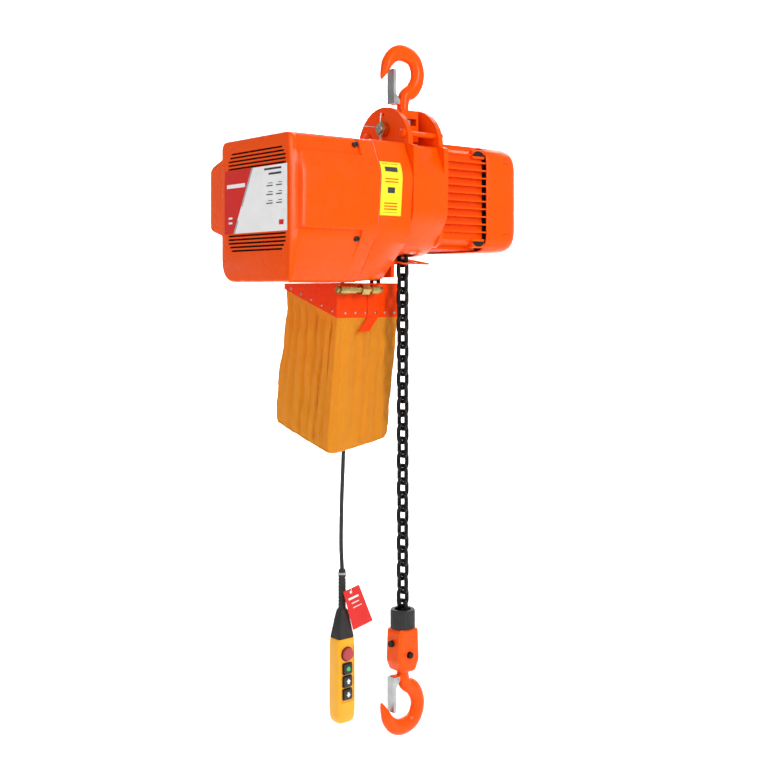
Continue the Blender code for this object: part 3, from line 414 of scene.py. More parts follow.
ORANGE = enamel("orange_enamel", (0.95, 0.088, 0.0008), (0.84, 0.058, 0.0006))
SHEET_ORANGE = enamel("sheet_enamel", (0.90, 0.052, 0.0008), (0.70, 0.03, 0.0006))
CHAIN_STEEL = metal("chain_steel", (0.018, 0.018, 0.019), (0.006, 0.006, 0.006), 0.30, 300.0, 0.85)
BRIGHT_STEEL = metal("bright_steel", (0.60, 0.60, 0.59), (0.32, 0.31, 0.30), 0.28)
ZINC = metal("zinc_plate", (0.52, 0.55, 0.55), (0.30, 0.32, 0.31), 0.38)
GOLD_ZINC = metal("yellow_zinc_plate", (0.62, 0.46, 0.16), (0.26, 0.23, 0.10), 0.26)
IRON = metal("cast_iron", (0.10, 0.10, 0.10), (0.05, 0.05, 0.05), 0.6, 200.0, 0.6)
COPPER = metal("wound_copper", (0.55, 0.22, 0.08), (0.28, 0.10, 0.04), 0.4)
RUBBER = plastic("black_rubber", (0.014, 0.014, 0.014), 0.62, 500.0)
BLACK = plastic("black_plastic", (0.016, 0.016, 0.017), 0.42)
# Near-black painted shade, for plates set in vents, gaps, the fan intake and screw slots where only shade
# falls.
PAINTED_SHADE = plastic("painted_shade_dark", (0.003, 0.003, 0.003), 0.9)
YELLOW = plastic("pendant_yellow", (0.98, 0.46, 0.004), 0.36)
RED = plastic("button_red", (0.46, 0.045, 0.055), 0.42)
GREEN = plastic("button_green", (0.03, 0.55, 0.14), 0.38)
WHITE = plastic("print_white", (0.95, 0.95, 0.95), 0.42)
PRINT_RED = plastic("print_red", (0.70, 0.008, 0.003), 0.50)
PRINT_GREY = plastic("print_grey", (0.40, 0.46, 0.47), 0.45)
PRINT_DARK = plastic("print_dark", (0.03, 0.03, 0.035), 0.5)
STICKER = plastic("sticker_yellow", (0.93, 0.80, 0.015), 0.35)
CORD = plastic("cord_jacket", (0.012, 0.012, 0.013), 0.5, 700.0)
CLOTH = cloth()
STITCH = plastic("thread", (0.75, 0.24, 0.02), 0.8)

# ---------------------------------------------------------------------------- cord


def make_cable():
    points = smooth_route(CABLE_ROUTE, CABLE_STEPS)
    curve = bpy.data.curves.new("pendant_cord", "CURVE")
    curve.dimensions = "3D"
    curve.bevel_depth = CABLE_R
    curve.bevel_resolution = 5
    curve.use_fill_caps = True
    spline = curve.splines.new("POLY")
    spline.points.add(len(points) - 1)
    for slot, point in zip(spline.points, points):
        slot.co = (*point, 1.0)
    spline.use_smooth = True
    obj = link_object("pendant_cord", curve, CORD, "hoist", "pendant_cable")


make_cable()

# ---------------------------------------------------------------------------- body


def cover_corners(end):
    if end:
        front = [(-0.070, -0.187, 0.016), (-0.076, -0.260, 0.06)]
        front += [(-0.076, -0.400, 0.06), (-0.072, -0.481, 0.014)]
    else:
        front = [(-0.064, -0.187, 0.012), (-0.093, -0.255, 0.06)]
        front += [(-0.083, -0.378, 0.10), (-0.012, -0.481, 0.02)]
    back = BACK_Y + 0.006 if end else BACK_Y
    low = [(back, -0.481, 0.095), (back, -0.384, 0.006)]
    bulge = [(0.224, -0.370, 0.014), (0.224, -0.238, 0.018)]
    high = [(back, -0.222, 0.006), (back, -0.187, 0.035)]
    return front + low + bulge + high


def blend(first, second, share):
    return [tuple(a + (b - a) * share for a, b in zip(p, q)) for p, q in zip(first, second)]


FRONT_TOP_Z, FRONT_LOW_Z = -0.2040, -0.440
STRIP_TOP_Z, STRIP_LOW_Z = -0.2225, -0.3755
STRIP_END_X = -0.1765


def front_y(outline, z):
    """Foremost point of a closed section at a height."""
    best = 1.0
    for a, b in zip(outline, outline[1:] + outline[:1]):
        if (a.y - z) * (b.y - z) <= 0 and abs(a.y - b.y) > 1e-9:
            best = min(best, a.x + (b.x - a.x) * (z - a.y) / (b.y - a.y))
    return best


def front_levels():
    """Heights down the front, each with how far it is sunk in where a strip is recessed."""
    levels = [(FRONT_TOP_Z, 1.0), (-0.2120, 1.0), (STRIP_TOP_Z + 0.0010, 1.0)]
    levels += [(STRIP_TOP_Z + 0.0002, 0.5), (STRIP_TOP_Z - 0.0006, 0.08), (STRIP_TOP_Z - 0.0022, 0.0)]
    count = 22
    start, end = STRIP_TOP_Z - 0.006, STRIP_LOW_Z + 0.006
    levels += [(start + (end - start) * i / count, 0.0) for i in range(count + 1)]
    levels += [(STRIP_LOW_Z + 0.0022, 0.0), (STRIP_LOW_Z + 0.0006, 0.08), (STRIP_LOW_Z - 0.0002, 0.55)]
    levels += [(STRIP_LOW_Z - 0.0010, 1.0)]
    start = STRIP_LOW_Z - 0.006
    levels += [(start + (FRONT_LOW_Z - start) * i / 9, 1.0 - 0.9 * i / 9) for i in range(10)]
    return levels


def cover_section(corners, depth):
    """Section of the cover: its front sampled at set heights and sunk where the strips run."""
    outline = rounded(corners)
    per_corner = 10
    front = [Vector((front_y(outline, z) + depth * sunk, z)) for z, sunk in front_levels()]
    top = outline[:per_corner]
    rest = outline[3 * per_corner :]
    top = [p + Vector((depth, 0)) if i > 2 else p + Vector((depth * i / 3, 0)) for i, p in enumerate(top)]
    return top + front + rest


def cover_stations():
    end, seam = cover_corners(True), cover_corners(False)
    middle = blend(end, seam, 0.45)
    middle[1] = (-0.090, -0.262, 0.07)
    middle[2] = (-0.088, -0.385, 0.07)

    def between(x, depth=0.0):
        share = min(1.0, (x - (COVER_END_X + 0.030)) / (SEAM_X - COVER_END_X - 0.030))
        return (x, cover_section(blend(middle, seam, share), depth))

    flat = cover_section(end, 0.0)
    sunk = 0.0064
    stations = [
        (COVER_END_X, inset(flat, 0.0050)),
        (COVER_END_X + 0.0006, inset(flat, 0.0030)),
        (COVER_END_X + 0.0020, inset(flat, 0.0012)),
        (COVER_END_X + 0.0045, inset(flat, 0.0002)),
        (COVER_END_X + 0.0070, flat),
        (COVER_END_X + 0.0120, cover_section(blend(end, middle, 0.10), 0.0)),
        (COVER_END_X + 0.0160, cover_section(blend(end, middle, 0.22), 0.0010)),
        (COVER_END_X + 0.0185, cover_section(blend(end, middle, 0.60), 0.0030)),
        (COVER_END_X + 0.0210, cover_section(blend(end, middle, 0.90), sunk)),
        (COVER_END_X + 0.0260, cover_section(blend(end, middle, 0.98), sunk)),
        between(COVER_END_X + 0.0300, sunk),
        between(-0.290, sunk),
        between(-0.250, sunk),
        between(-0.210, sunk),
        between(STRIP_END_X - 0.0012, sunk),
        between(STRIP_END_X - 0.0002, sunk * 0.5),
        between(STRIP_END_X + 0.0008, sunk * 0.06),
        between(STRIP_END_X + 0.0026),
        between(-0.155),
        (SEAM_X - 0.0018, cover_section(seam, 0.0)),
        (SEAM_X - 0.0005, inset(cover_section(seam, 0.0), 0.0010)),
    ]
    return stations


def cover_inside():
    end, seam = cover_corners(True), cover_corners(False)
    shares = ((SEAM_X - 0.0005, 1.0), (-0.200, 0.8), (COVER_END_X + 0.022, 0.3), (COVER_END_X + WALL, 0.0))
    return [(x, inset(cover_section(blend(end, seam, share), 0.0), 0.0110)) for x, share in shares]


def make_cover():
    rings = [at_x(x, outline) for x, outline in cover_stations() + cover_inside()]
    cover = piece("control_cover_shell", loft(rings), ORANGE, "hoist", "control_cover", smooth_deg=34)
    slots = bmesh.new()
    for i in range(5):
        for first_z in (-0.2160, -0.3855):
            z = first_z - i * SLOT_PITCH
            trim = 0.006 * max(0, i - 2) if first_z < -0.3 else 0.006 * max(0, 2 - i)
            outline = rectangle(-0.060 + trim, 0.150 - trim, z - 0.0019, z + 0.0019, 0.0018, 4)
            loft([at_x(COVER_END_X - 0.010, outline), at_x(COVER_END_X + 0.020, outline)], slots)
    cut(cover, slots)
    # A near-black plate behind the slots is painted shade, so the vents read dark.
    vent_shade_plate = block(COVER_END_X + 0.008, COVER_END_X + 0.009, -0.064, 0.156, -0.440, -0.205)
    piece("vent_shadow", vent_shade_plate, PAINTED_SHADE, "hoist", bevel=0.0002)
    seam_like = rounded(blend(cover_corners(True), cover_corners(False), 0.85))
    for name, z in (("cover_screw_top", -0.2010), ("cover_screw_low", -0.3930)):
        y = front_y(seam_like, z) + 0.0036
        profile = [(0.0020, 0.0056), (-0.0050, 0.0056), (-0.0060, 0.0046)]
        profile += [(-0.0060, 0.0027), (-0.0025, 0.0025)]
        piece(name, turned("Y", (-0.1845, y, z), profile, 28), BLACK, "hoist")


def make_plate():
    """End label: white panel, red panel with a slanted grey divider, and plain bars for print."""
    x = COVER_END_X - 0.0006
    y0, y1, z0, z1 = -0.066, 0.162, -0.3805, -0.2500
    width = y1 - y0
    white = [Vector((y0, z0)), Vector((y1, z0)), Vector((y1, z1)), Vector((y0, z1))]

    def film(name, outline, look, lift, *replaced):
        rings = [at_x(x - lift, outline), at_x(x - lift - 0.0002, outline)]
        return piece(name, loft(rings), look, "hoist", *replaced)

    film("label_white", white, WHITE, 0.0, "rating_plate")
    top_y, low_y = y1 - 0.45 * width, y1 - 0.15 * width
    red = [Vector((low_y, z0)), Vector((y1, z0)), Vector((y1, z1)), Vector((top_y, z1))]
    film("label_red", red, PRINT_RED, 0.00022)

    def divider(share):
        return low_y + (top_y - low_y) * share, z0 + (z1 - z0) * share

    bm = bmesh.new()
    for start, end in ((0.0, 0.20), (0.42, 1.0)):
        (ya, za), (yb, zb) = divider(start), divider(end)
        outline = [Vector((ya, za)), Vector((ya - 0.005, za)), Vector((yb - 0.005, zb)), Vector((yb, zb))]
        loft([at_x(x - 0.00044, outline), at_x(x - 0.00064, outline)], bm)
    piece("label_divider", bm, PRINT_GREY, "hoist")
    bars = bmesh.new()
    rows = [(0.020, 0.060, 0.232, 0.0040), (0.020, 0.044, 0.222, 0.0040)]
    for k in range(3):
        drop = 0.0175 * k
        rows += [(0.018, 0.012, 0.205 - drop, 0.0014), (0.018, 0.020, 0.1995 - drop, 0.0022)]
        rows += [(0.050, 0.016, 0.205 - drop, 0.0014), (0.050, 0.022, 0.1995 - drop, 0.0022)]
    for start, length, height, thick in rows:
        z = z0 + height - 0.110
        block(x - 0.00046, x - 0.00026, y0 + start, y0 + start + length, z, z + thick, bm=bars)
    piece("label_bars", bars, PRINT_DARK, "hoist")
    stamp = rectangle(y0 + 0.012, y0 + 0.028, z0 + 0.012, z0 + 0.022, 0.002)
    film("label_stamp", stamp, PRINT_RED, 0.00024)
    mark = bmesh.new()
    for start, low, high in ((0.009, 0.094, 0.102), (0.016, 0.030, 0.034), (0.016, 0.020, 0.024)):
        length = 0.014 + 0.055 * (low > 0.05)
        block(x - 0.00066, x - 0.00046, y1 - start - length, y1 - start, z0 + low, z0 + high, bm=mark)
    piece("label_light_bars", mark, WHITE, "hoist")


def case_corners(far):
    if far:
        front = [(-0.064, -0.185, 0.012), (-0.093, -0.255, 0.06)]
        front += [(-0.083, -0.385, 0.06), (0.010, -0.474, 0.02)]
    else:
        front = [(-0.064, -0.185, 0.012), (-0.093, -0.255, 0.06)]
        front += [(-0.083, -0.378, 0.10), (-0.012, -0.479, 0.02)]
    return front + [(BACK_Y, -0.479, 0.060), (BACK_Y, -0.185, 0.045)]


def make_case():
    near, far = rounded(case_corners(False)), rounded(case_corners(True))
    stations = [
        (SEAM_X + 0.0005, inset(near, 0.0010)),
        (SEAM_X + 0.0018, near),
        (-0.090, rounded(blend(case_corners(False), case_corners(True), 0.5))),
        (CASE_END_X - 0.0012, far),
        (CASE_END_X, inset(far, 0.0012)),
    ]
    rings = [at_x(x, outline) for x, outline in stations]
    rings += [at_x(CASE_END_X - 0.009, inset(far, 0.008)), at_x(SEAM_X + 0.0005, inset(near, 0.006))]
    piece("gear_case_casting", loft(rings, closed=True), ORANGE, "hoist", "gear_case")
    plate = loft([at_x(CASE_END_X - 0.0085, inset(far, 0.009)), at_x(CASE_END_X - 0.001, inset(far, 0.009))])
    cut_plate = piece("gear_case_wall", plate, ORANGE, "hoist")
    bores = turned("X", (0, AXIS_Y, AXIS_Z), [(-0.08, 0.0225), (-0.03, 0.0225)])
    turned("X", (0, AXIS_Y, AXIS_Z - 0.076), [(-0.08, 0.0095), (-0.03, 0.0095)], bm=bores)
    cut(cut_plate, bores)
    profile = ((-0.0004, 0.0016), (0.0004, 0.0016), (0.0004, 0.005), (-0.0004, 0.005))
    gasket = [at_x(SEAM_X + along, inset(near, depth)) for along, depth in profile]
    piece("seam_gasket", loft(gasket, closed=True), PRINT_GREY, "hoist")


def make_sticker():
    """Plain yellow sticker wrapped round the front of the gear case."""
    steps_x, steps_z = 8, 24
    near, far = case_corners(False), case_corners(True)

    def surface(x, z, lift):
        share = (x - SEAM_X) / (CASE_END_X - SEAM_X)
        return (x, front_y(rounded(blend(near, far, share)), z) - lift, z)

    def patch(bm, x0, x1, z0, z1, lift, nx=steps_x, nz=steps_z):
        def row(k, level):
            z = z0 + (z1 - z0) * k / nz
            return [bm.verts.new(surface(x0 + (x1 - x0) * i / nx, z, level)) for i in range(nx + 1)]

        sheets = [[row(k, level) for k in range(nz + 1)] for level in (lift, lift + 0.00025)]
        low, high = sheets
        for sheet in sheets:
            for k in range(nz):
                for i in range(nx):
                    bm.faces.new((sheet[k][i], sheet[k][i + 1], sheet[k + 1][i + 1], sheet[k + 1][i]))
        for k in range(nz):
            bm.faces.new((low[k][0], low[k + 1][0], high[k + 1][0], high[k][0]))
            bm.faces.new((low[k][nx], high[k][nx], high[k + 1][nx], low[k + 1][nx]))
        for i in range(nx):
            bm.faces.new((low[0][i], high[0][i], high[0][i + 1], low[0][i + 1]))
            bm.faces.new((low[nz][i], low[nz][i + 1], high[nz][i + 1], high[nz][i]))
        return bm

    x0, x1, z0, z1 = -0.1352, -0.0790, -0.3435, -0.2330
    piece("yellow_sticker", patch(bmesh.new(), x0, x1, z0, z1, 0.0002), STICKER, "hoist")
    marks = bmesh.new()
    for a, b, low, high in (
        (0.006, 0.0485, 0.1060, 0.1066),
        (0.006, 0.0485, 0.0060, 0.0066),
        (0.011, 0.0440, 0.0900, 0.1000),
        (0.018, 0.0370, 0.0460, 0.0580),
    ):
        patch(marks, x0 + a, x0 + b, z0 + low, z0 + high, 0.0005, 4, 3)
    piece("sticker_marks", marks, PRINT_DARK, "hoist")
    bars = bmesh.new()
    for low in (0.012, 0.018, 0.024, 0.068, 0.074):
        patch(bars, x0 + 0.010, x0 + 0.045, z0 + low, z0 + low + 0.0022, 0.0005, 4, 3)
    piece("sticker_bars", bars, SHEET_ORANGE, "hoist")


def make_sheave_section():
    """Housing between the lug plates, flush with the gear case at the front."""
    half = 0.0488
    corners = [(-0.0700, -0.1885, 0.012), (-0.0943, -0.2500, 0.04), (-0.0923, -0.345, 0.07)]
    corners += [(-0.0305, -0.4247, 0.08), (0.1255, -0.4247, 0.08)]
    corners += [(0.1687, -0.360, 0.07), (0.1687, -0.1885, 0.03)]
    outline = rounded(corners)
    stations = [(-half, 0.0012), (-half + 0.0012, 0.0)]
    stations += [(half - 0.004, 0.0), (half - 0.0012, 0.0012), (half, 0.0040)]
    rings = [at_x(x, inset(outline, shrink)) for x, shrink in stations]
    housing = piece("sheave_housing_casting", loft(rings), ORANGE, "hoist", "sheave_housing")
    ways = block(-0.021, 0.021, -0.021, 0.021, -0.45, AXIS_Z)
    block(-0.021, 0.021, 0.0766, 0.1186, -0.45, AXIS_Z, bm=ways)
    cut(housing, turned("X", (0, AXIS_Y, AXIS_Z), [(-0.05, 0.076), (0.05, 0.076)], 48))
    cut(housing, ways)
    add_bevel(housing, 0.0008, 2, 40)


def make_motor():
    fin_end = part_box("motor_housing")[1][0]

    middle_z = AXIS_Z - 0.003

    def square(half, radius):
        return rectangle(AXIS_Y - half, AXIS_Y + half, middle_z - half, middle_z + half, radius, 10)

    outer = [
        (0.288, 0.0980, 0.046),
        (0.2868, 0.1042, 0.045),
        (0.2835, 0.1090, 0.044),
        (0.2780, 0.1130, 0.042),
        (0.2680, 0.1165, 0.041),
        (0.2500, 0.1185, 0.040),
        (0.1880, 0.1185, 0.040),
        (0.1868, 0.1180, 0.040),
    ]
    rings = [at_x(x, square(half, radius)) for x, half, radius in outer]
    inner = [(0.1868, 0.1155, 0.038), (0.250, 0.1155, 0.038), (0.285, 0.0955, 0.043)]
    rings += [at_x(x, square(half, radius)) for x, half, radius in inner]
    cover = piece("fan_cover_shell", loft(rings), ORANGE, "hoist", "fan_cover")
    slots = bmesh.new()
    for i in range(7):
        z = AXIS_Z + (i - 3) * 0.017
        half = math.sqrt(0.062**2 - (z - AXIS_Z) ** 2)
        block(0.27, 0.30, AXIS_Y - half, AXIS_Y + half, z - 0.003, z + 0.003, bm=slots)
    for z in (AXIS_Z + 0.080, AXIS_Z - 0.080):
        block(0.236, 0.30, AXIS_Y - 0.13, AXIS_Y - 0.1160, z - 0.0006, z + 0.0006, bm=slots)
    cut(cover, slots)
    add_bevel(cover, 0.0006, 2, 40)
    shadow = [at_x(x, square(half, 0.036)) for x, half in ((fin_end + 0.0006, 0.1065), (0.2100, 0.1065))]
    piece("fan_intake_shadow", loft(shadow), PAINTED_SHADE, "hoist", bevel=0.0005)
    feet = bmesh.new()
    for sy in (-1, 1):
        for sz in (-1, 1):
            y, z = AXIS_Y + sy * 0.099, middle_z + sz * 0.099
            outline = rectangle(min(y, y + sy * 0.012), max(y, y + sy * 0.012), z - 0.010, z + 0.010, 0.002)
            loft([at_x(0.150, outline), at_x(0.1865, outline)], feet)
    piece("fan_cover_feet", feet, ORANGE, "hoist", bevel=0.0008)
    # Thin near-black arches at the fan cover's feet are painted shade in the gaps there.
    gap_shade = bmesh.new()
    for sz in (-1, 1):
        low = middle_z + sz * 0.0945
        steps = [math.pi * i / 20 for i in range(21)]
        arch = [Vector((0.1676 - 0.0180 * math.cos(a), low + sz * 0.0115 * math.sin(a))) for a in steps]
        loft([at_y(AXIS_Y - 0.1108, arch), at_y(AXIS_Y - 0.1114, arch)], gap_shade)
    piece("fan_cover_gap_shade", gap_shade, PAINTED_SHADE, "hoist")


# --------------------------------------------------------------------------- hooks


def hook_shape(saddle_z, up):
    middle_z = saddle_z + up * 0.024
    shape = [
        (0.005, 0.090, 0.0130),
        (0.005, 0.072, 0.0130),
        (0.011, 0.050, 0.0150),
        (0.032, 0.036, 0.0175),
        (0.0460, 0.012, 0.0170),
        (0.0455, -0.014, 0.0170),
        (0.0310, -0.035, 0.0180),
        (0.004, -0.0425, 0.0185),
        (-0.019, -0.037, 0.0170),
        (-0.036, -0.021, 0.0140),
        (-0.045, -0.003, 0.0100),
        (-0.0515, 0.011, 0.0060),
        (-0.0545, 0.018, 0.0032),
    ]
    path = smooth_route([(-0.005 + x, 0.0, middle_z + up * z) for x, z, _ in shape], 5)
    widths = [v.x for v in smooth_route([(r, 0.0, 0.0) for _, _, r in shape], 5)]
    return path, widths


def make_hook(name, node, body, saddle_z, up):
    """Forged hook: oval sections swept along a smooth centre line, with a rounded tip and a stem."""
    path, widths = hook_shape(saddle_z, up)
    across = Vector((0, 1, 0))
    shank = path[0].z
    rings = [circle((0, 0, shank + up * 0.0174), (1, 0, 0), across, 0.0100, sides=28)]
    rings.append(circle((0, 0, shank + up * 0.0012), (1, 0, 0), across, 0.0100, sides=28))
    rings.append(circle((0, 0, shank + up * 0.0006), (1, 0, 0), across, 0.0126, sides=28))
    for i, point in enumerate(path):
        tangent = (path[min(i + 1, len(path) - 1)] - path[max(i - 1, 0)]).normalized()
        out = across.cross(tangent) * -up
        depth = min(0.013, widths[i] * 1.02)
        rings.append(circle(point, out, across, widths[i] * 0.985, depth * 0.985, 28))
    tip, before = path[-1], path[-2]
    along = (tip - before).normalized()
    out = across.cross(along) * -up
    rings.append(circle(tip + along * 0.0016, out, across, widths[-1] * 0.75, widths[-1] * 0.75, 28))
    rings.append(circle(tip + along * 0.0026, out, across, widths[-1] * 0.35, widths[-1] * 0.35, 28))
    obj = piece(name, loft(rings), ORANGE, body, node, smooth_deg=50)
    return obj


def make_hooks():
    make_hook("top_hook_forging", "top_hook", "top_hook", 0.0, -1)
    make_hook("load_hook_forging", "load_hook", "load_hook", -1.427, 1)
    for body, pivot_z in (("top_hook", -0.090), ("load_hook", -1.337)):
        lug = rectangle(-0.0275, -0.006, pivot_z - 0.006, pivot_z + 0.006, 0.004)
        boss = piece(body + "_latch_boss", loft([at_y(-0.0075, lug), at_y(0.0075, lug)]), ORANGE, body)
        cut(boss, turned("Y", (-0.0215, 0, pivot_z), [(-0.02, 0.0028), (0.02, 0.0028)], 20))
        add_bevel(boss, 0.0012, 3)


# --------------------------------------------------------------------------- chain


def link_points(centre, along, across):
    """Centre line of one link: two straight sides and two round ends."""
    end_r, half_straight = 0.0117, 0.0192 - 0.0117 + 0.0006
    points = []
    for side in (1, -1):
        for i in range(9):
            a = math.pi * i / 8
            sideways = across * (end_r * math.cos(a) * side)
            points.append(centre + sideways + along * (side * (half_straight + end_r * math.sin(a))))
    return points


def add_link(bm, centre, along, across):
    points = link_points(Vector(centre), Vector(along), Vector(across))
    square = Vector(along).cross(Vector(across))
    rings = []
    for i, point in enumerate(points):
        tangent = (points[(i + 1) % len(points)] - points[i - 1]).normalized()
        rings.append(circle(point, square.cross(tangent), square, 0.0047, sides=12))
    loft(rings, bm, closed=True)


def hanging_links(y, first_z, start, count):
    bm = bmesh.new()
    for i in range(start, start + count):
        across = (0, 1, 0) if i % 2 == 0 else (1, 0, 0)
        add_link(bm, (0, y, first_z - i * LINK_PITCH), (0, 0, 1), across)
    return bm


def make_chains():
    first_z = AXIS_Z - LINK_PITCH / 2
    load = hanging_links(0.0, first_z, 0, LOAD_LINKS)
    load = piece("load_chain_links", load, CHAIN_STEEL, "hoist", "load_chain", smooth_deg=70)
    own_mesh(load)
    ends = hanging_links(0.0, first_z + 2 * LINK_END_GAP, LOAD_LINKS, RIDING_LINKS)
    piece("end_links", ends, CHAIN_STEEL, "hook_block", "chain_end_links", smooth_deg=70)
    slack = hanging_links(2 * AXIS_Y, first_z + LINK_END_GAP, 0, SLACK_LINKS)
    piece("slack_links", slack, CHAIN_STEEL, "hoist", "slack_chain", smooth_deg=70)
    wrapped = bmesh.new()
    for i in range(5):
        a = math.pi - SHEAVE_STEP * (i + 0.5)
        out = Vector((0, math.cos(a), math.sin(a)))
        along = Vector((0, -math.sin(a), math.cos(a)))
        centre = Vector((0, AXIS_Y, AXIS_Z)) + out * (SHEAVE_R * math.cos(SHEAVE_STEP / 2))
        add_link(wrapped, centre, along, (1, 0, 0) if i % 2 == 0 else out)
    piece("wheel_links", wrapped, CHAIN_STEEL, "hoist", smooth_deg=70)


# ----------------------------------------------------------------------- chain bag


def holder_low_z(y):
    share = (y - BAG_Y0) / (BAG_Y1 - BAG_Y0)
    return -0.556 + 0.062 * min(max(share, 0.0), 1.0)


def bag_bottom_z(x, y):
    across = (x - BAG_X0) / (BAG_X1 - BAG_X0)
    back = (y - BAG_Y0) / (BAG_Y1 - BAG_Y0)
    return -0.851 + 0.026 * across + 0.051 * back


def perimeter(x0, x1, y0, y1, radius, count):
    """Evenly spaced points round a rounded rectangle, from the front left corner."""
    outline = rectangle(x0, x1, y0, y1, radius, 8)
    lengths = [(b - a).length for a, b in zip(outline, outline[1:] + outline[:1])]
    total = sum(lengths)
    points, k, done = [], 0, 0.0
    for i in range(count):
        target = total * i / count
        while done + lengths[k] < target:
            done += lengths[k]
            k += 1
        a, b = outline[k], outline[(k + 1) % len(outline)]
        points.append(a + (b - a) * ((target - done) / lengths[k]))
    return points


def bag_wall(shrink, count=330, rows=64):
    """Rows of the bag's wall: gathered under the holder, pleated below, sagging out at the foot."""
    rings = []
    for row in range(rows + 1):
        share = row / rows
        lower = max(0.0, (share - BAG_STRAIGHT) / (1 - BAG_STRAIGHT))
        foot = max(0.0, (share - 0.93) / 0.07)
        tuck = 0.016 * foot**2
        points = perimeter(
            BAG_X0 - 0.022 * lower + shrink + tuck,
            BAG_X1 - 0.026 * lower - shrink - tuck,
            BAG_Y0 + shrink + tuck,
            BAG_Y1 + 0.022 * lower - shrink - tuck,
            0.010 + 0.010 * share,
            count,
        )
        middle = Vector((sum(p.x for p in points), sum(p.y for p in points))) / count
        ring = []
        for i, p in enumerate(points):
            low = bag_bottom_z(p.x, p.y) + shrink
            z = BAG_TOP_Z + (low - BAG_TOP_Z) * share
            below = holder_low_z(p.y) - z
            free = min(1.0, max(0.0, below / 0.030)) * (1 - 0.5 * foot)
            outward = (p - middle).normalized()
            strength = 0.45 + 0.55 * max(0.0, -outward.x) - 0.20 * max(0.0, outward.y)
            a = 2 * math.pi * i / count
            wander = 0.55 * math.sin(2 * a + 1.3) + 0.45 * math.sin(5 * a + 2.5 * share)
            pleat = abs(math.sin(11 * a + wander)) ** 0.62 - 0.62
            fold = pleat * 0.0110 * strength * (1 - 0.45 * share)
            fold += math.sin(37 * a + 1.7 * math.sin(2 * a) - 2.5 * share) * 0.0007
            fold += (noise.noise(Vector((p.x * 26, p.y * 26, share * 6.0))) - 0.1) * 0.0045
            fold += noise.noise(Vector((p.x * 70, p.y * 70, share * 24.0))) * 0.0013
            crumple = 0.0026 * math.sin(share * 44 + 3 * math.sin(3 * a)) * max(0.0, share - 0.70)
            moved = p + outward * ((fold + crumple) * free - 0.0010 * free)
            ring.append((moved.x, moved.y, z))
        rings.append(ring)
    return rings


def floor_rings(ring):
    """Closes the foot with loops drawn in to its middle, sagging a little."""
    middle = sum((Vector(p) for p in ring), Vector()) / len(ring)
    loops, steps = [], 6
    for k in range(1, steps + 1):
        t = k / steps * 0.97
        sag = Vector((0, 0, -0.004 * math.sin(math.pi * t / 2)))
        loops.append([Vector(p).lerp(middle, t) + sag for p in ring])
    return loops


def make_bag():
    outer = bag_wall(0.0)
    inner = bag_wall(0.0022, rows=24)
    rings = outer + floor_rings(outer[-1])
    bm = bmesh.new()
    loft(rings, bm, caps=False)
    inner_rings = inner + floor_rings(inner[-1])
    loft(inner_rings, bm, caps=False)
    bm.verts.ensure_lookup_table()
    count = len(outer[0])
    first_inner = len(rings) * count
    for i in range(count):
        j = (i + 1) % count
        bm.faces.new((bm.verts[i], bm.verts[j], bm.verts[first_inner + j], bm.verts[first_inner + i]))
    bm.faces.new([bm.verts[(len(rings) - 1) * count + i] for i in range(count)])
    bm.faces.new([bm.verts[first_inner + (len(inner_rings) - 1) * count + i] for i in range(count)][::-1])
    bag = piece("chain_bag_cloth", bm, CLOTH, "hoist", "chain_bag", smooth_deg=80)
    seams = bag_seams(outer)


def bag_seams(rows):
    """Rolled seams down the four corners, each with its thread stitches, and a hem round the foot."""
    count = len(rows[0])
    corners = []
    made = []
    top = rows[len(rows) // 4]
    xs = [p[0] for p in top]
    ys = [p[1] for p in top]
    for x, y in ((min(xs), min(ys)), (max(xs), min(ys)), (max(xs), max(ys)), (min(xs), max(ys))):
        corners.append(min(range(count), key=lambda i: (top[i][0] - x) ** 2 + (top[i][1] - y) ** 2))
    seam = bmesh.new()
    thread = bmesh.new()
    for i in corners:
        line = [Vector(row[i]) for row in rows[10:60:2]]
        tube(line, 0.0016, 8, seam)
        line = [Vector(row[(i + 3) % count]) for row in rows[10:60]]
        for a, b in zip(line[::2], line[1::2]):
            tube([a.lerp(b, 0.1), a.lerp(b, 0.5), a.lerp(b, 0.95)], 0.0004, 6, thread)
    tube([Vector(p) for p in rows[-3]][::2], 0.0021, 8, seam, closed=True)
    made.append(piece("bag_corner_seams", seam, CLOTH, "hoist", smooth_deg=80))
    made.append(piece("bag_stitches", thread, STITCH, "hoist", smooth_deg=80))
    return made


def make_holder():
    """Folded sheet skirt with rows of small screws."""
    outer = rectangle(BAG_X0 - 0.0021, BAG_X1 + 0.0021, BAG_Y0 - 0.0021, BAG_Y1 + 0.0021, 0.006, 6)
    inner = rectangle(BAG_X0 - 0.0008, BAG_X1 + 0.0008, BAG_Y0 - 0.0008, BAG_Y1 + 0.0008, 0.005, 6)
    rings = [[(p.x, p.y, holder_low_z(p.y)) for p in outline] for outline in (inner, outer)]
    rings += [at_z(-0.4815, outer), at_z(-0.4815, inner)]
    piece("bag_holder_sheet", loft(rings, closed=True), SHEET_ORANGE, "hoist", "bag_holder", bevel=0.0004)
    heads = bmesh.new()
    slot_shade = bmesh.new()
    for i in range(6):
        x = BAG_X0 + 0.020 + i * (BAG_X1 - BAG_X0 - 0.035) / 5
        screw(heads, slot_shade, (x, BAG_Y0 - 0.0021, -0.546), "Y")
    for i in range(5):
        y = BAG_Y0 + 0.015 + i * 0.038
        screw(heads, slot_shade, (BAG_X0 - 0.0021, y, holder_low_z(y) + 0.010), "X")
    piece("bag_screws", heads, ZINC, "hoist")
    piece("bag_screw_slot_shade", slot_shade, PAINTED_SHADE, "hoist")


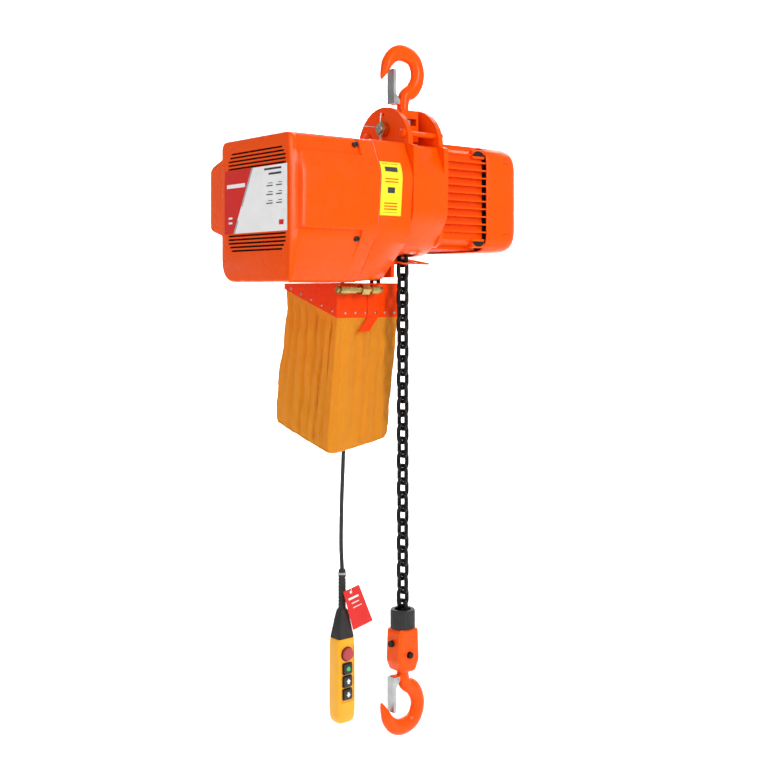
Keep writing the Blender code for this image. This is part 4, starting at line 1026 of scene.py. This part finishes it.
def make_strap():
    """Strap down the holder's front, its free end turned out and to the side."""
    front = BAG_Y0 - 0.0024
    path = [(-0.4830, 0.0, 0.0), (-0.5520, 0.0, 0.0), (-0.5560, 0.0004, 0.0010), (-0.5590, 0.0012, 0.0040)]
    path += [(-0.5850, 0.0085, 0.0320), (-0.5860, 0.0088, 0.0332)]
    rings = []
    for z, out, aside in path:
        x0, x1, y = -0.071 - aside, -0.041 - aside, front - out
        rings.append([(x0, y, z), (x1, y, z), (x1, y - 0.0020, z), (x0, y - 0.0020, z)])
    strap = piece("bag_strap_sheet", loft(rings), SHEET_ORANGE, "hoist", "bag_strap", smooth_deg=20)
    cut(strap, turned("Y", (-0.0485, front, -0.546), [(0.004, 0.0036), (-0.006, 0.0036)], 24))
    add_bevel(strap, 0.0004, 2, 30)


def screw(heads, slot_shade, at, axis):
    dome = [(0.0006, 0.0030), (-0.0006, 0.0029), (-0.0015, 0.0023), (-0.0020, 0.0012), (-0.0021, 0.0003)]
    turned(axis, at, dome, 18, heads)
    # The near-black cross on each head is painted shade for its sunk driver cross.
    for half_a, half_b in ((0.0014, 0.00028), (0.00028, 0.0014)):
        x, y, z = at
        if axis == "Y":
            block(x - half_a, x + half_a, y - 0.00225, y - 0.0015, z - half_b, z + half_b, bm=slot_shade)
        else:
            block(x - 0.00225, x - 0.0015, y - half_a, y + half_a, z - half_b, z + half_b, bm=slot_shade)


# ------------------------------------------------------------------------- pendant


ESTOP_Z = -1.3530
SLOT_PITCH = 0.0077
BUTTON_HEIGHTS = (-1.3870, -1.4170, -1.4470)


def button_outline(z, half):
    """Rounded square round a button's middle."""
    return rectangle(PENDANT_X - half, PENDANT_X + half, z - half, z + half, 0.0040, 8)


def make_pendant():
    def section(z, hx, hy, radius=0.009):
        return at_z(z, rectangle(PENDANT_X - hx, PENDANT_X + hx, PENDANT_Y - hy, PENDANT_Y + hy, radius, 6))

    levels = [
        (-1.3173, 0.0232, 0.0190),
        (-1.3180, 0.0240, 0.0197),
        (-1.3210, 0.0246, 0.0201),
        (-1.3280, 0.0252, 0.0205),
        (-1.3600, 0.0256, 0.0208),
        (-1.4300, 0.0259, 0.0209),
        (-1.4850, 0.0257, 0.0208),
        (-1.5020, 0.0250, 0.0200),
        (-1.5110, 0.0225, 0.0180),
        (-1.5155, 0.0185, 0.0150),
        (-1.5168, 0.0150, 0.0120),
    ]
    shell = loft([section(*level) for level in levels])
    case = piece("pendant_shell", shell, YELLOW, "hoist", "pendant_case")
    face_y = PENDANT_Y - 0.0209
    panel = rectangle(PENDANT_X - 0.0190, PENDANT_X + 0.0190, -1.4660, -1.3330, 0.006, 6)
    cut(case, loft([at_y(face_y - 0.01, panel), at_y(face_y + 0.0022, panel)]))
    pockets = bmesh.new()
    turned("Y", (PENDANT_X, PENDANT_Y, ESTOP_Z), [(-0.030, 0.0155), (-0.004, 0.0155)], 32, pockets)
    for z in BUTTON_HEIGHTS:
        outline = button_outline(z, 0.0129)
        loft([at_y(PENDANT_Y - 0.030, outline), at_y(PENDANT_Y - 0.004, outline)], pockets)
    cut(case, pockets)
    add_bevel(case, 0.0006, 2, 40)
    make_buttons(face_y)


def make_buttons(face_y):
    looks = (
        ("estop", ESTOP_Z, 0.0149, 0.0058, RED),
        ("start", BUTTON_HEIGHTS[0], 0.0119, 0.0043, BLACK),
        ("up", BUTTON_HEIGHTS[1], 0.0119, 0.0043, BLACK),
        ("down", BUTTON_HEIGHTS[2], 0.0119, 0.0043, BLACK),
    )
    for name, z, radius, proud, look in looks:
        body = name + "_button"
        face = PENDANT_Y - 0.021 - proud
        if name == "estop":
            profile = [(face + 0.018, 0.0110), (face + 0.0070, 0.0112), (face + 0.0065, 0.0149)]
            profile += [(face + 0.0020, 0.0149), (face + 0.0004, 0.0138), (face, 0.0110), (face, 0.0010)]
            piece("estop_mushroom", turned("Y", (PENDANT_X, 0, z), profile, 40), look, body, body)
            continue
        cap = button_outline(z, radius)
        shrunk = inset(cap, 0.0012)
        rings = [at_y(face + 0.0150, cap), at_y(face + 0.0012, cap)]
        rings += [at_y(face + 0.0003, inset(cap, 0.0005)), at_y(face, shrunk)]
        piece(name + "_cap", loft(rings), look, body, body)
        mark = bmesh.new()
        if name == "start":
            turned("Y", (PENDANT_X, 0, z), [(face - 0.0006, 0.0050), (face + 0.0004, 0.0056)], 28, mark)
            piece("start_mark", mark, GREEN, body)
            continue
        way = 1 if name == "up" else -1
        arrow = [(-0.0062, 0.0), (0.0, 0.0068), (0.0062, 0.0), (0.0026, 0.0)]
        arrow += [(0.0026, -0.0052), (-0.0026, -0.0052), (-0.0026, 0.0)]
        outline = [Vector((PENDANT_X + a, z + way * b)) for a, b in arrow]
        loft([at_y(face - 0.0005, outline), at_y(face + 0.0004, outline)], mark)
        piece(name + "_arrow", mark, WHITE, body)
    rim = bmesh.new()
    profile = [(0.0020, 0.0169), (-0.0004, 0.0167), (-0.0004, 0.0156), (0.0020, 0.0156)]
    turned("Y", (PENDANT_X, face_y, ESTOP_Z), profile, 36, rim, closed=True)
    for z in BUTTON_HEIGHTS:
        shape = ((0.0020, 0.0138), (-0.0004, 0.0137), (-0.0004, 0.0127), (0.0020, 0.0127))
        loft([at_y(face_y + deep, button_outline(z, half)) for deep, half in shape], rim, closed=True)
    piece("button_rims", rim, BLACK, "hoist")


def make_boot():
    """Ribbed rubber boot with a smooth sleeve and a clamp ring at its top."""
    profile = [(-1.1563, 0.0072), (-1.1566, 0.0084), (-1.1600, 0.0086)]
    z = -1.1700
    while z > -1.2440:
        profile += [(z, 0.0088), (z - 0.0012, 0.0094), (z - 0.0036, 0.0094), (z - 0.0048, 0.0088)]
        z -= 0.0085
    profile += [(-1.2520, 0.0100)]
    skirt = bmesh.new()
    levels = (
        (-1.2490, 0.0098, 0.0098, 0.0096),
        (-1.2530, 0.0128, 0.0122, 0.0116),
        (-1.2700, 0.0164, 0.0150, 0.0120),
        (-1.2950, 0.0205, 0.0175, 0.0105),
        (-1.3140, 0.0236, 0.0196, 0.0090),
        (-1.3169, 0.0236, 0.0196, 0.0090),
    )
    rings = []
    for level, hx, hy, radius in levels:
        outline = rectangle(PENDANT_X - hx, PENDANT_X + hx, PENDANT_Y - hy, PENDANT_Y + hy, radius, 8)
        rings.append(at_z(level, outline))
    loft(rings, skirt)
    piece("pendant_boot_skirt", skirt, RUBBER, "hoist", bevel=0.0006)
    centre = (PENDANT_X, PENDANT_Y, 0)
    piece("pendant_sleeve", turned("Z", centre, profile, 40), RUBBER, "hoist", "pendant_boot")
    ring = [(-1.1640, 0.0105), (-1.1690, 0.0105), (-1.1690, 0.0088), (-1.1640, 0.0088)]
    piece("boot_clamp", turned("Z", centre, ring, 32, closed=True), ZINC, "hoist", bevel=0.0004)


def make_tag():
    """Card tag with an eyelet, tied to the boot by a thin string."""
    y = PENDANT_Y - 0.0225
    corners = [(0.019, -1.204, 0.002), (0.066, -1.194, 0.002)]
    corners += [(0.108, -1.287, 0.002), (0.0485, -1.2995, 0.002)]
    outline = rounded(corners, 5)
    card = loft([at_y(y - 0.0005, outline), at_y(y - 0.0001, outline)])
    tag = piece("tag_card", card, PRINT_RED, "hoist", "swing_tag")
    hole = (0.0415, y, -1.2080)
    cut(tag, turned("Y", hole, [(-0.01, 0.0026), (0.01, 0.0026)], 24))
    eyelet = [(-0.0009, 0.0040), (0.0003, 0.0040), (0.0003, 0.0024), (-0.0009, 0.0024)]
    piece("tag_eyelet", turned("Y", hole, eyelet, 24, closed=True), ZINC, "hoist")
    string = [hole, (0.040, y - 0.004, -1.200), (0.037, y + 0.006, -1.186)]
    string += [(0.034, PENDANT_Y - 0.0102, -1.1745)]
    piece("tag_string", tube(smooth_route(string, 6), 0.0006, 8), WHITE, "hoist")
    bars = bmesh.new()
    down = Vector((0.042, 0, -0.093)).normalized()
    side = Vector((0.047, 0, 0.010)).normalized()
    rows = ((0.022, 0.006, 0.030, 0.0050), (0.036, 0.010, 0.022, 0.0022), (0.048, 0.010, 0.026, 0.0016))
    for start, shift, length, thick in rows:
        origin = Vector((0.019, y - 0.00062, -1.204)) + down * start + side * shift
        far = origin + side * length
        outline = [origin, far, far + down * thick, origin + down * thick]
        loft([outline, [p + Vector((0, 0.00018, 0)) for p in outline]], bars)
    piece("tag_bars", bars, WHITE, "hoist")


# ------------------------------------------------------------------------- details


def make_hanger():
    """Thread on the hanger bolt; its nuts get their chamfer in finish_nodes."""
    centre = Vector((0, 0.012, -0.4955))
    thread = []
    start, end, thread_r = -0.1245, -0.1085, 0.0070
    points = 26 * 12
    for i in range(points + 1):
        a = 2 * math.pi * i / 12
        along = start + (end - start) * i / points
        thread.append(centre + Vector((along, thread_r * math.cos(a), thread_r * math.sin(a))))
    piece("hanger_thread", tube(thread, 0.00028, 6), GOLD_ZINC, "hoist", smooth_deg=80)


def make_split_pin():
    """Long bent legs of the split pin through the castle nut."""
    x, z = -0.0625, -0.152
    wire_r = 0.00105
    up = [(x, 0.0010, z - 0.020), (x, 0.0010, z + 0.018)]
    up += [(x + 0.001, 0.0015, z + 0.026), (x + 0.003, 0.002, z + 0.035)]
    level = [(x, -0.0012, z - 0.018), (x, -0.0012, z - 0.004)]
    level += [(x - 0.005, -0.001, z + 0.0020), (x - 0.0455, 0.002, z + 0.0025)]
    angles = [2 * math.pi * i / 16 for i in range(16)]
    eye = [(x, 0.0032 * math.sin(a), z - 0.0215 - 0.0032 * math.cos(a)) for a in angles]
    legs = bmesh.new()
    tube(smooth_route(up, 6), wire_r, 8, legs)
    tube(smooth_route(level, 6), wire_r, 8, legs)
    tube(eye, wire_r, 8, legs, closed=True)
    piece("split_pin_legs", legs, BRIGHT_STEEL, "hoist", "split_pin", smooth_deg=80)


def make_block_details():
    """The raised ring on the hook block's face."""
    centre = Vector((0, -0.0226, -1.2855))
    rings = bmesh.new()
    profile = [(0.001, 0.0125), (-0.0006, 0.0122), (-0.0006, 0.0108), (0.001, 0.0105)]
    turned("Y", centre, profile, 36, rings, closed=True)
    piece("block_face_ring", rings, ORANGE, "hook_block")


# ------------------------------------------------------------ finish on CAD nodes

NODE_LOOKS = {
    "top_hook_nut": ZINC,
    "top_hook_latch": ZINC,
    "load_hook_latch": ZINC,
    "load_hook_nut": ZINC,
    "top_yoke": ORANGE,
    "suspension_pin": BRIGHT_STEEL,
    "castle_nut": GOLD_ZINC,
    "tie_bolt_front": ORANGE,
    "tie_bolt_back": ORANGE,
    "lug_plate_gear_side": ORANGE,
    "lug_plate_motor_side": ORANGE,
    "mounting_plate": ZINC,
    "contactor": BLACK,
    "transformer": COPPER,
    "motor_flange": ORANGE,
    "motor_housing": ORANGE,
    "stator": IRON,
    "rotor": BRIGHT_STEEL,
    "brake_coil": IRON,
    "brake_armature": IRON,
    "cooling_fan": BLACK,
    "input_pinion": BRIGHT_STEEL,
    "countershaft": BRIGHT_STEEL,
    "load_sheave": IRON,
    "sheave_gear": BRIGHT_STEEL,
    "gear_side_bearing": BRIGHT_STEEL,
    "motor_side_bearing": BRIGHT_STEEL,
    "limit_lever": ORANGE,
    "chain_guide": SHEET_ORANGE,
    "hanger_bolt": GOLD_ZINC,
    "hanger_sleeve": GOLD_ZINC,
    "hanger_nut": GOLD_ZINC,
    "cable_gland": BLACK,
    "stop_cup": RUBBER,
    "hook_block_front": ORANGE,
    "hook_block_back": ORANGE,
    "chain_pin": CHAIN_STEEL,
    "hook_block_bolt": CHAIN_STEEL,
}

NODE_BEVELS = {
    "lug_plate_gear_side": 0.0012,
    "lug_plate_motor_side": 0.0012,
    "top_yoke": 0.0030,
    "hook_block_front": 0.0022,
    "hook_block_back": 0.0022,
    "tie_bolt_front": 0.0018,
    "tie_bolt_back": 0.0018,
    "castle_nut": 0.0012,
    "motor_flange": 0.0015,
    "stop_cup": 0.0010,
    "chain_pin": 0.0010,
    "hook_block_bolt": 0.0010,
    "hanger_nut": 0.0012,
    "hanger_sleeve": 0.0010,
}
SMALL_BEVEL = 0.0005


def finish_nodes():
    for name, look in NODE_LOOKS.items():
        obj = NODES[name]
        obj.data.materials.clear()
        obj.data.materials.append(look)
        add_bevel(obj, NODE_BEVELS.get(name, SMALL_BEVEL), 2, 34)


# --------------------------------------------------------------------------- stage


def make_stage():
    floor = bmesh.new()
    reach, back, foot, radius = 14.0, 7.0, -1.75, 3.0
    profile = [(-reach, foot), (back - radius, foot)]
    for i in range(1, 13):
        a = math.pi / 2 * i / 12
        profile.append((back - radius + radius * math.sin(a), foot + radius - radius * math.cos(a)))
    profile.append((back, 12.0))
    turn = math.radians(CAMERA_TURN_DEG)
    side = Vector((math.cos(turn), math.sin(turn), 0))
    away = Vector((-math.sin(turn), math.cos(turn), 0))
    rows = []
    for depth, z in profile:
        middle = away * depth + Vector((0, 0, z))
        rows.append([floor.verts.new(middle + side * across) for across in (-reach, reach)])
    for a, b in zip(rows, rows[1:]):
        floor.faces.new((a[0], a[1], b[1], b[0]))
    mesh = bpy.data.meshes.new("floor")
    floor.to_mesh(mesh)
    floor.free()
    mesh.shade_smooth()
    obj = bpy.data.objects.new("floor", mesh)
    bpy.context.scene.collection.objects.link(obj)
    look = Look("floor_paper", (0.92, 0.92, 0.92), 0.9)
    mesh.materials.append(look.grain(4.0, 0.0004).done())


def add_light(name, at, target, size, power):
    data = bpy.data.lights.new(name, "AREA")
    data.shape = "RECTANGLE"
    data.size, data.size_y = size
    data.energy = power
    light = bpy.data.objects.new(name, data)
    light.location = at
    light.rotation_euler = (Vector(target) - Vector(at)).to_track_quat("-Z", "Y").to_euler()
    light.visible_camera = False
    bpy.context.scene.collection.objects.link(light)


def make_light():
    """Soft key from the front right, weaker fill on the left, and lights that keep the backdrop white."""
    world = bpy.data.worlds.new("studio")
    world.use_nodes = True
    background = world.node_tree.nodes["Background"]
    background.inputs["Color"].default_value = (1.0, 1.0, 1.0, 1)
    background.inputs["Strength"].default_value = 0.36
    bpy.context.scene.world = world
    bpy.context.scene.view_settings.view_transform = "Standard"
    middle = (0.0, 0.0, -0.6)
    add_light("key", (0.4, -3.2, 0.7), middle, (1.0, 2.2), 84)
    add_light("fill", (-3.2, -1.2, 0.3), middle, (1.2, 2.4), 31)
    turn = math.radians(CAMERA_TURN_DEG)
    away = Vector((-math.sin(turn), math.cos(turn), 0))
    at, target = away * 2.6 + Vector((0, 0, 1.4)), away * 7.0 + Vector((0, 0, 0.4))
    add_light("backdrop_light", at, target, (6.0, 2.0), 300)
    at, target = away * 3.4 + Vector((0, 0, 2.2)), away * 3.6 + Vector((0, 0, -1.75))
    add_light("floor_light", at, target, (6.0, 4.0), 320)


make_cover()
make_plate()
make_case()
make_sticker()
make_sheave_section()
make_motor()
make_hooks()
make_chains()
make_bag()
make_holder()
make_strap()
make_pendant()
make_boot()
make_tag()
make_hanger()
make_split_pin()
make_block_details()
finish_nodes()
make_stage()
make_light()
